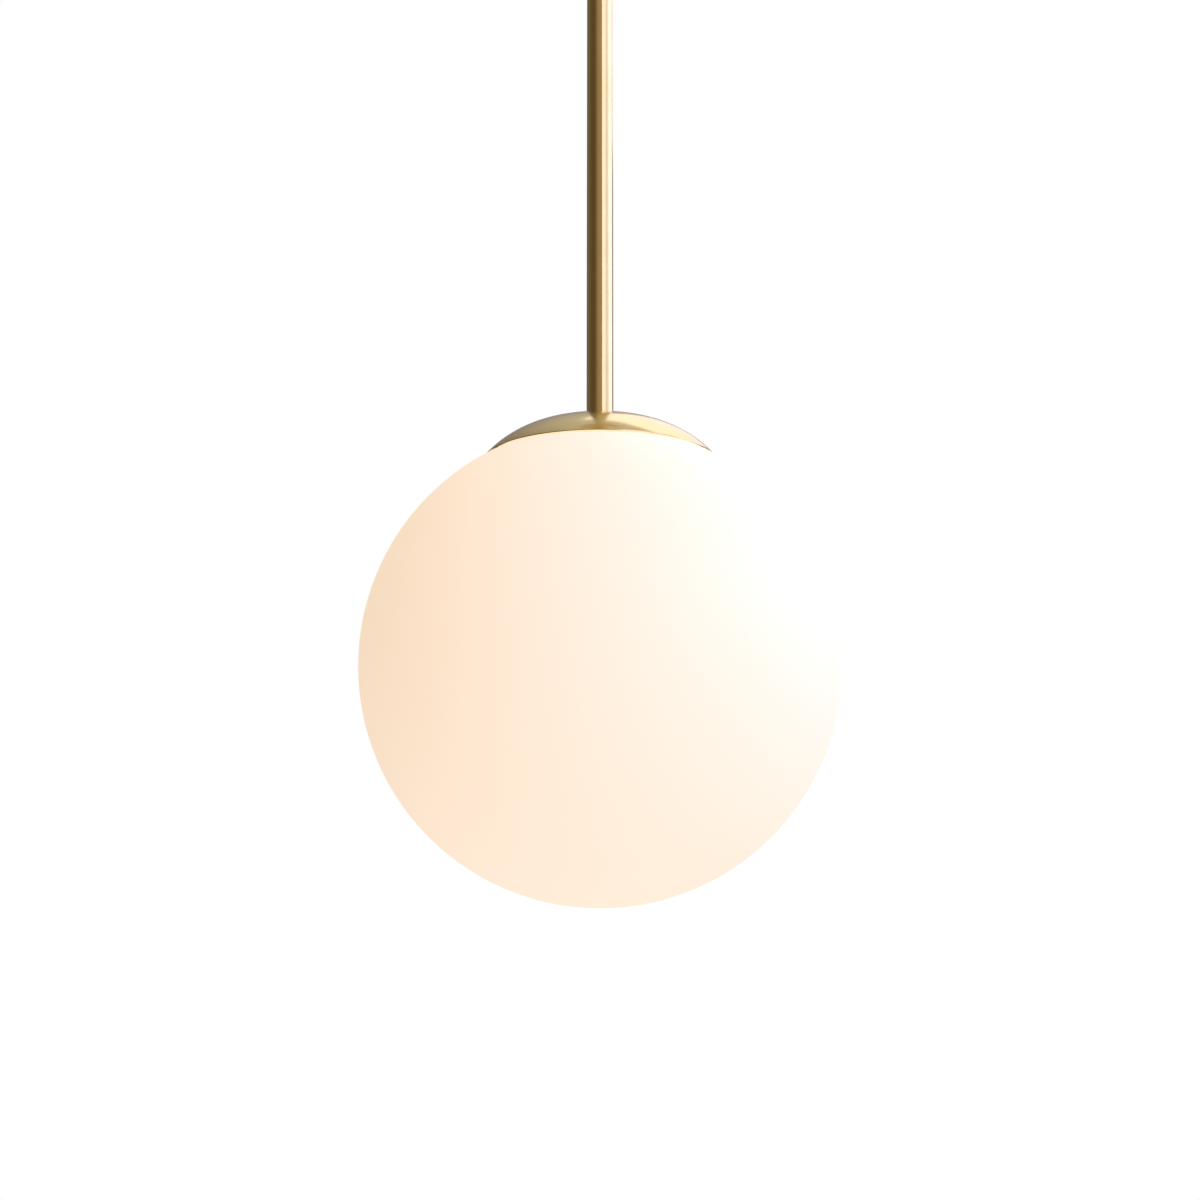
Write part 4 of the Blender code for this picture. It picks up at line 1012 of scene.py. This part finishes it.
# %% Holder plate
plate_low, plate_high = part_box("holder_plate")
PLATE_R = plate_high.x
PLATE_WALL = 1.5 * MM
PIN_RING_R = 24 * MM
EAR_R, EAR_WALL, EAR_IN = 3.6 * MM, 1.2 * MM, 5.35 * MM
PIN_R = 1.3 * MM
pin_z = plate_low.z + EAR_R
under = plate_high.z - PLATE_WALL
corners = [(BORE_R, under), (PLATE_R, under, 0.6 * MM), (PLATE_R, plate_high.z, 0.6 * MM),
           (BORE_R, plate_high.z)]
plate = turned("pressed_plate", corners, zinc, steps=96)
ear = [(PIN_RING_R - EAR_R, under + 0.5 * MM), *arc((PIN_RING_R, pin_z), EAR_R, 180, 360, 18),
       (PIN_RING_R + EAR_R, under + 0.5 * MM)]
clip_turns = [Matrix.Rotation(2 * math.pi * i / 3, 4, "Z") for i in range(3)]
for turn in clip_turns:
    ears = []
    for side in (-1, 1):
        place = turn @ Matrix.Translation((0, side * (EAR_IN + EAR_WALL / 2), 0))
        ears.append(pressed("ear", ear, EAR_WALL, zinc, place))
    combine(plate, "UNION", *ears)
    drill(plate, PIN_R + 0.3 * MM, 30 * MM, (PIN_RING_R, 0, pin_z), "Y", turn, steps=32)
dress(soften(plate, 0.12 * MM), "holder_plate")

# %% [markdown]
# ## Spring clips
#
# Each clip is a leaf of hardened strip with two rolled lugs that turn on a pin. A rib pressed down the leaf
# makes it stiff, and a silicone pad is pushed onto its narrow end and bears on the glass. A torsion spring
# round the pin pushes the arm out. The three clips are alike, and their leaves slope down a little. So the
# arm, the pad and the pin are each made once, along X or about the origin, and copies of their meshes are
# tilted and turned into place.

# %% Clip arms
REACH = Vector((28 * MM, 0, -3.45 * MM))
LEAF_START, LEAF_LENGTH, LEAF_WALL, CLIP_WIDTH = 4.6 * MM, REACH.length - 8.5 * MM, 1.6 * MM, 10 * MM
LUG, EYE_R, LUG_END = 1.5 * MM, 3 * MM, 7 * MM
RIB_HALF, RIB_HALF_WIDTH, RIB_WALL = 7 * MM, 1.2 * MM, 0.8 * MM
NECK = Vector((6 * MM, 5 * MM, 1.28 * MM))
slope = Matrix.Rotation(-math.atan2(REACH.z, REACH.x), 4, "Y")
hinge = Matrix.Translation((PIN_RING_R, 0, pin_z))
half = CLIP_WIDTH / 2
leaf_end = LEAF_START + LEAF_LENGTH
leaf = [(LEAF_START, -half), (leaf_end, -half, 2 * MM), (leaf_end, half, 2 * MM), (LEAF_START, half)]
arm = pressed("arm", leaf, LEAF_WALL, tempered, upright=False)
lug_half = LEAF_WALL * 0.7
lug = [*arc((0, 0), EYE_R, 60, 300, 24), (LUG_END, -lug_half, 0.5 * MM), (LUG_END, lug_half, 0.5 * MM)]
lug_places = [Matrix.Translation((0, side * (half - LUG / 2), 0)) for side in (-1, 1)]
lugs = [pressed("lug", lug, LUG, tempered, place) for place in lug_places]
neck = block("neck", NECK, (REACH.length - NECK.x / 2, 0, 0), tempered)
combine(arm, "UNION", *lugs, neck)
drill(arm, PIN_R + 0.35 * MM, 30 * MM, (0, 0, 0), "Y", steps=32)
middle = LEAF_START + LEAF_LENGTH / 2 + 1 * MM
quarters = ((-1, -1), (1, -1), (1, 1), (-1, 1))
groove = [(middle + x * RIB_HALF, y * RIB_HALF_WIDTH, 1.1 * MM) for x, y in quarters]
at_face = Matrix.Translation((0, 0, LEAF_WALL / 2))
combine(arm, "DIFFERENCE", pressed("rib", groove, RIB_WALL, tempered, at_face, upright=False))
soften(arm, 0.15 * MM)


def placed(master, name, node, matrix):
    """Dresses a copy of a finished piece, whose mesh is moved into place."""
    copied = bpy.data.objects.new(name, master.data.copy())
    copied.data.transform(matrix)
    bpy.context.scene.collection.objects.link(copied)
    dress(copied, node)


for number, turn in enumerate(clip_turns, 1):
    placed(arm, f"sprung_arm_{number}", f"clip_arm_{number}", turn @ hinge @ slope)
bpy.data.objects.remove(arm, do_unlink=True)

# %% Pads and pins
PAD_R = 2.6 * MM
corners = [(0, -half), (PAD_R, -half, 0.8 * MM), (PAD_R, half, 0.8 * MM), (0, half)]
pad = turned("pad", corners, silicone, steps=40, turn=QUARTER["Y"])
slot = block("slot", NECK + Vector((0, 0.6 * MM, 0.6 * MM)), (0.3 * MM - NECK.x / 2, 0, 0), silicone)
combine(pad, "DIFFERENCE", slot)
PIN_GROOVE_R = PIN_R - 0.35 * MM  # for the ring that keeps the pin in
half = 7.3 * MM
corners = [(0, -half), (PIN_R, -half, 0.3 * MM), (PIN_R, half - 1 * MM), (PIN_GROOVE_R, half - 0.9 * MM),
           (PIN_GROOVE_R, half - 0.5 * MM), (PIN_R, half - 0.4 * MM), (PIN_R, half, 0.2 * MM), (0, half)]
pin = turned("pin", corners, turned_zinc, steps=32, facets=3, turn=QUARTER["Y"])
at_end = Matrix.Translation((REACH.length, 0, 0))
for number, turn in enumerate(clip_turns, 1):
    placed(pad, f"silicone_pad_{number}", f"clip_pad_{number}", turn @ hinge @ slope @ at_end)
    placed(pin, f"clip_steel_pin_{number}", f"clip_pin_{number}", turn @ hinge)
for master in (pad, pin):
    bpy.data.objects.remove(master, do_unlink=True)

# %% Springs
SPRING_R, SPRING_WIRE_R, SPRING_TURNS, SPRING_WIDTH = 2.3 * MM, 0.45 * MM, 3, 4.4 * MM
coil = [(SPRING_R, -SPRING_WIDTH / 2, 5.4 * MM), (SPRING_R, -SPRING_WIDTH / 2, 2.5 * MM)]
steps = SPRING_TURNS * 28
for i in range(steps + 1):
    angle = (2 * math.pi * SPRING_TURNS + math.pi / 2) * i / steps
    coil.append((SPRING_R * math.cos(angle), SPRING_WIDTH * (i / steps - 0.5), SPRING_R * math.sin(angle)))
coil.append((SPRING_R * 0.2, SPRING_WIDTH / 2 + SPRING_WIRE_R, SPRING_R + 0.1 * MM))
for number, turn in enumerate(clip_turns, 1):
    route = [turn @ hinge @ Vector(p) for p in coil]
    dress(wire(f"torsion_spring_{number}", route, SPRING_WIRE_R, tempered, sides=3), f"clip_spring_{number}")

# %% [markdown]
# ## Porcelain lampholder
#
# The lampholder is two glazed porcelain turnings. The cover hides the terminals and has a rounded shoulder.
# The body holds the threaded shell, and its mouth is left thick and rounded so that it doesn't chip.

# %% Lampholder cover and body
cover_low, cover_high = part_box("lampholder_cover")
body_low, body_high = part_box("lampholder_body")
HOLDER_R = body_high.x
COVER_FLAT_R, COVER_BORE_R, SHOULDER_R, COVER_ROOF = 12 * MM, 16.5 * MM, 7 * MM, 4 * MM
top, joint, mouth = cover_high.z - GLOBE_Z, cover_low.z - GLOBE_Z, body_low.z - GLOBE_Z
deck = body_high.z - GLOBE_Z
on_globe = (0, 0, GLOBE_Z)
corners = [(BORE_R, top), (COVER_FLAT_R, top, 1 * MM),
           *arc((COVER_FLAT_R, top - SHOULDER_R), SHOULDER_R, 74, 0, 12), (HOLDER_R, joint, 0.5 * MM),
           (COVER_BORE_R, joint), (COVER_BORE_R, top - 2 * COVER_ROOF, 2 * MM),
           (COVER_FLAT_R, top - COVER_ROOF, 1 * MM), (BORE_R, top - COVER_ROOF)]
dress(turned("porcelain_cover", corners, porcelain, on_globe), "lampholder_cover")
SOCKET_R, DECK_BORE_R, DECK_WALL = 15.25 * MM, 3.4 * MM, 3 * MM
waist = HOLDER_R - 0.7 * MM
corners = [(SOCKET_R, mouth, 0.8 * MM), (HOLDER_R, mouth, 1.6 * MM), (HOLDER_R, mouth + 6 * MM),
           (waist, mouth + 6.8 * MM, 0.3 * MM), (waist, mouth + 8.2 * MM, 0.3 * MM),
           (HOLDER_R, mouth + 9 * MM), (HOLDER_R, deck, 0.5 * MM), (DECK_BORE_R, deck),
           (DECK_BORE_R, deck - DECK_WALL), (SOCKET_R, deck - DECK_WALL, 0.8 * MM)]
dress(turned("porcelain_body", corners, porcelain, on_globe), "lampholder_body")
hex_nut("entry_hex_nut", "entry_nut", BORE_R, turned_zinc)

# %% [markdown]
# ## Edison thread
#
# The holder's shell and the lamp's cap are both thin sheet brass with a thread rolled in, so the same wave
# runs on both faces of the sheet. It is round, with 7 turns to the inch. Both waves are set out from the
# globe's centre with the same phase, so the lamp's crests lie in the shell's roots.

# %% Threaded shell and contact
EDISON_PITCH = 25.4 / 7 * MM
EDISON_DEPTH = 0.55 * MM
SHELL_MEAN, SHEET, LIP_R = 12.95 * MM, 0.4 * MM, 14.2 * MM


def span(node, datum=0):
    """A node's lowest and highest heights above a datum."""
    return [corner.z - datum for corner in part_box(node)]


low, high = span("screw_shell", GLOBE_Z)
inner = rows(SHELL_MEAN, low + 0.5 * MM, high, EDISON_PITCH, 16)
outer = rows(SHELL_MEAN + SHEET, low + 0.5 * MM, high, EDISON_PITCH, 16)
lip = [(LIP_R, low), (LIP_R, low + SHEET)]
shell = turned("threaded_shell", [*inner[::-1], *lip, *outer], contact_brass, on_globe, steps=72)
walls = [SHELL_MEAN, SHELL_MEAN + SHEET]
thread(shell, walls, EDISON_DEPTH, EDISON_PITCH, low, high, on_globe, rounded=True)
dress(shell, "screw_shell")
low, high = span("centre_contact")
LEAF_R, POST_R, NOSE_R = 5 * MM, 3 * MM, 1.6 * MM
leaf_top = low + 1.1 * MM
corners = [(0, low), (NOSE_R, low, 0.3 * MM), (LEAF_R, low + 0.5 * MM, 0.2 * MM),
           (LEAF_R, leaf_top, 0.2 * MM), (POST_R, leaf_top, 0.3 * MM), (POST_R, high, 0.3 * MM), (0, high)]
dress(turned("stamped_contact", corners, contact_brass, steps=64, facets=3), "centre_contact")

# %% Holder terminals and leads
TERMINAL_X = 9.5 * MM
facing_front = Matrix.Rotation(math.pi / 2, 4, "X")
screw = [(0, -0.6 * MM), (1.5 * MM, -0.6 * MM), (1.5 * MM, 0.5 * MM, 0.25 * MM), (0, 0.5 * MM)]
for word, side, pvc in (("neutral", -1, blue_pvc), ("live", 1, brown_pvc)):
    low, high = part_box(f"holder_terminal_{word}")
    middle = (low + high) / 2
    terminal = soften(block(f"brass_terminal_{word}", high - low, middle, contact_brass), 0.4 * MM)
    drill(terminal, 1.1 * MM, 2 * MM, (middle.x + side * 2.5 * MM, 0, middle.z), "X", steps=24)
    at = (middle.x, low.y, middle.z)
    head = turned("head", screw, contact_brass, at, steps=32, facets=2, turn=facing_front)
    combine(terminal, "UNION", head)
    slot_place = (middle.x, low.y - 0.5 * MM, middle.z)
    slot = block("slot", (3.4 * MM, 0.7 * MM, 0.45 * MM), slot_place, contact_brass)
    dress(combine(terminal, "DIFFERENCE", slot), f"holder_terminal_{word}")
    stops = [(side * 1.2 * MM, 0, GLOBE_Z + 108.9 * MM), (side * 1.6 * MM, 0, GLOBE_Z + 106.6 * MM),
             (side * 5.2 * MM, 0, GLOBE_Z + 104.6 * MM), (side * TERMINAL_X, 0, GLOBE_Z + 104.7 * MM)]
    dress(wire(f"holder_wire_{word}", smooth_route(stops, 12), LEAD_R, pvc), f"holder_lead_{word}")

# %% [markdown]
# ## The lamp
#
# The lamp is an ordinary screw-in one. From the top: a soldered contact tip, a black glass insulator, the
# rolled cap, and a blown envelope, whose neck opens smoothly into the ball. The envelope's section is a
# smooth curve through a few stops, and then an arc, and the inner wall is the same a millimetre in.

# %% Lamp cap, insulator and tip
low, high = span("lamp_tip")
tip_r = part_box("lamp_tip")[1].x
corners = [(0, low), (tip_r, low, 0.2 * MM), (tip_r, high - 1 * MM, 0.2 * MM),
           (3 * MM, high - 0.7 * MM, 0.4 * MM), (2.2 * MM, high, 0.6 * MM), (0, high)]
dress(turned("soldered_tip", corners, nickel, steps=64, facets=4), "lamp_tip")
low, high = span("lamp_insulator")
corners = [(0, low), (10.8 * MM, low, 0.3 * MM), (7 * MM, high - 0.9 * MM, 0.8 * MM), (tip_r, high, 0.3 * MM),
           (0, high)]
dress(turned("glass_insulator", corners, black_glass, steps=64), "lamp_insulator")
LAMP_MEAN, CAP_SHEET = 12.55 * MM, 0.35 * MM
low, high = span("lamp_cap", GLOBE_Z)
outer = rows(LAMP_MEAN, low, high, EDISON_PITCH, 16)
inner = rows(LAMP_MEAN - CAP_SHEET, low, high, EDISON_PITCH, 16)
lamp_cap = turned("rolled_lamp_cap", [*inner[::-1], *outer], nickel, on_globe, steps=72)
walls = [LAMP_MEAN, LAMP_MEAN - CAP_SHEET]
thread(lamp_cap, walls, EDISON_DEPTH, EDISON_PITCH, low, high, on_globe, rounded=True)
dress(lamp_cap, "lamp_cap")

# %% Lamp envelope
BULB_R, NECK_R, ENVELOPE_WALL = 30 * MM, 10.7 * MM, 0.9 * MM
bottom = span("lamp_glass", GLOBE_Z)[0]
cap_end = low
bulb_start = math.radians(20)
centre_z = bottom + BULB_R
stops = [(NECK_R, 0, cap_end + 4 * MM), (NECK_R, 0, cap_end - 0.4 * MM), (12.6 * MM, 0, cap_end - 4 * MM),
         (15.5 * MM, 0, cap_end - 12 * MM), (22 * MM, 0, cap_end - 26 * MM),
         (BULB_R * math.cos(bulb_start), 0, centre_z + BULB_R * math.sin(bulb_start))]
neck = [(p[0], p[2]) for p in smooth_route(stops, 6)]
start = (NECK_R, cap_end + 10 * MM)
profile = [start, *neck, *arc((0, centre_z), BULB_R, 20, -90, 30)[1:]]
inner = [(radius - ENVELOPE_WALL, height) for radius, height in [start, *neck]]
inner += arc((0, centre_z), BULB_R - ENVELOPE_WALL, 20, -90, 26)[1:]
dress(turned("frosted_envelope", [*profile, *inner[::-1]], lamp_glass, on_globe), "lamp_glass")
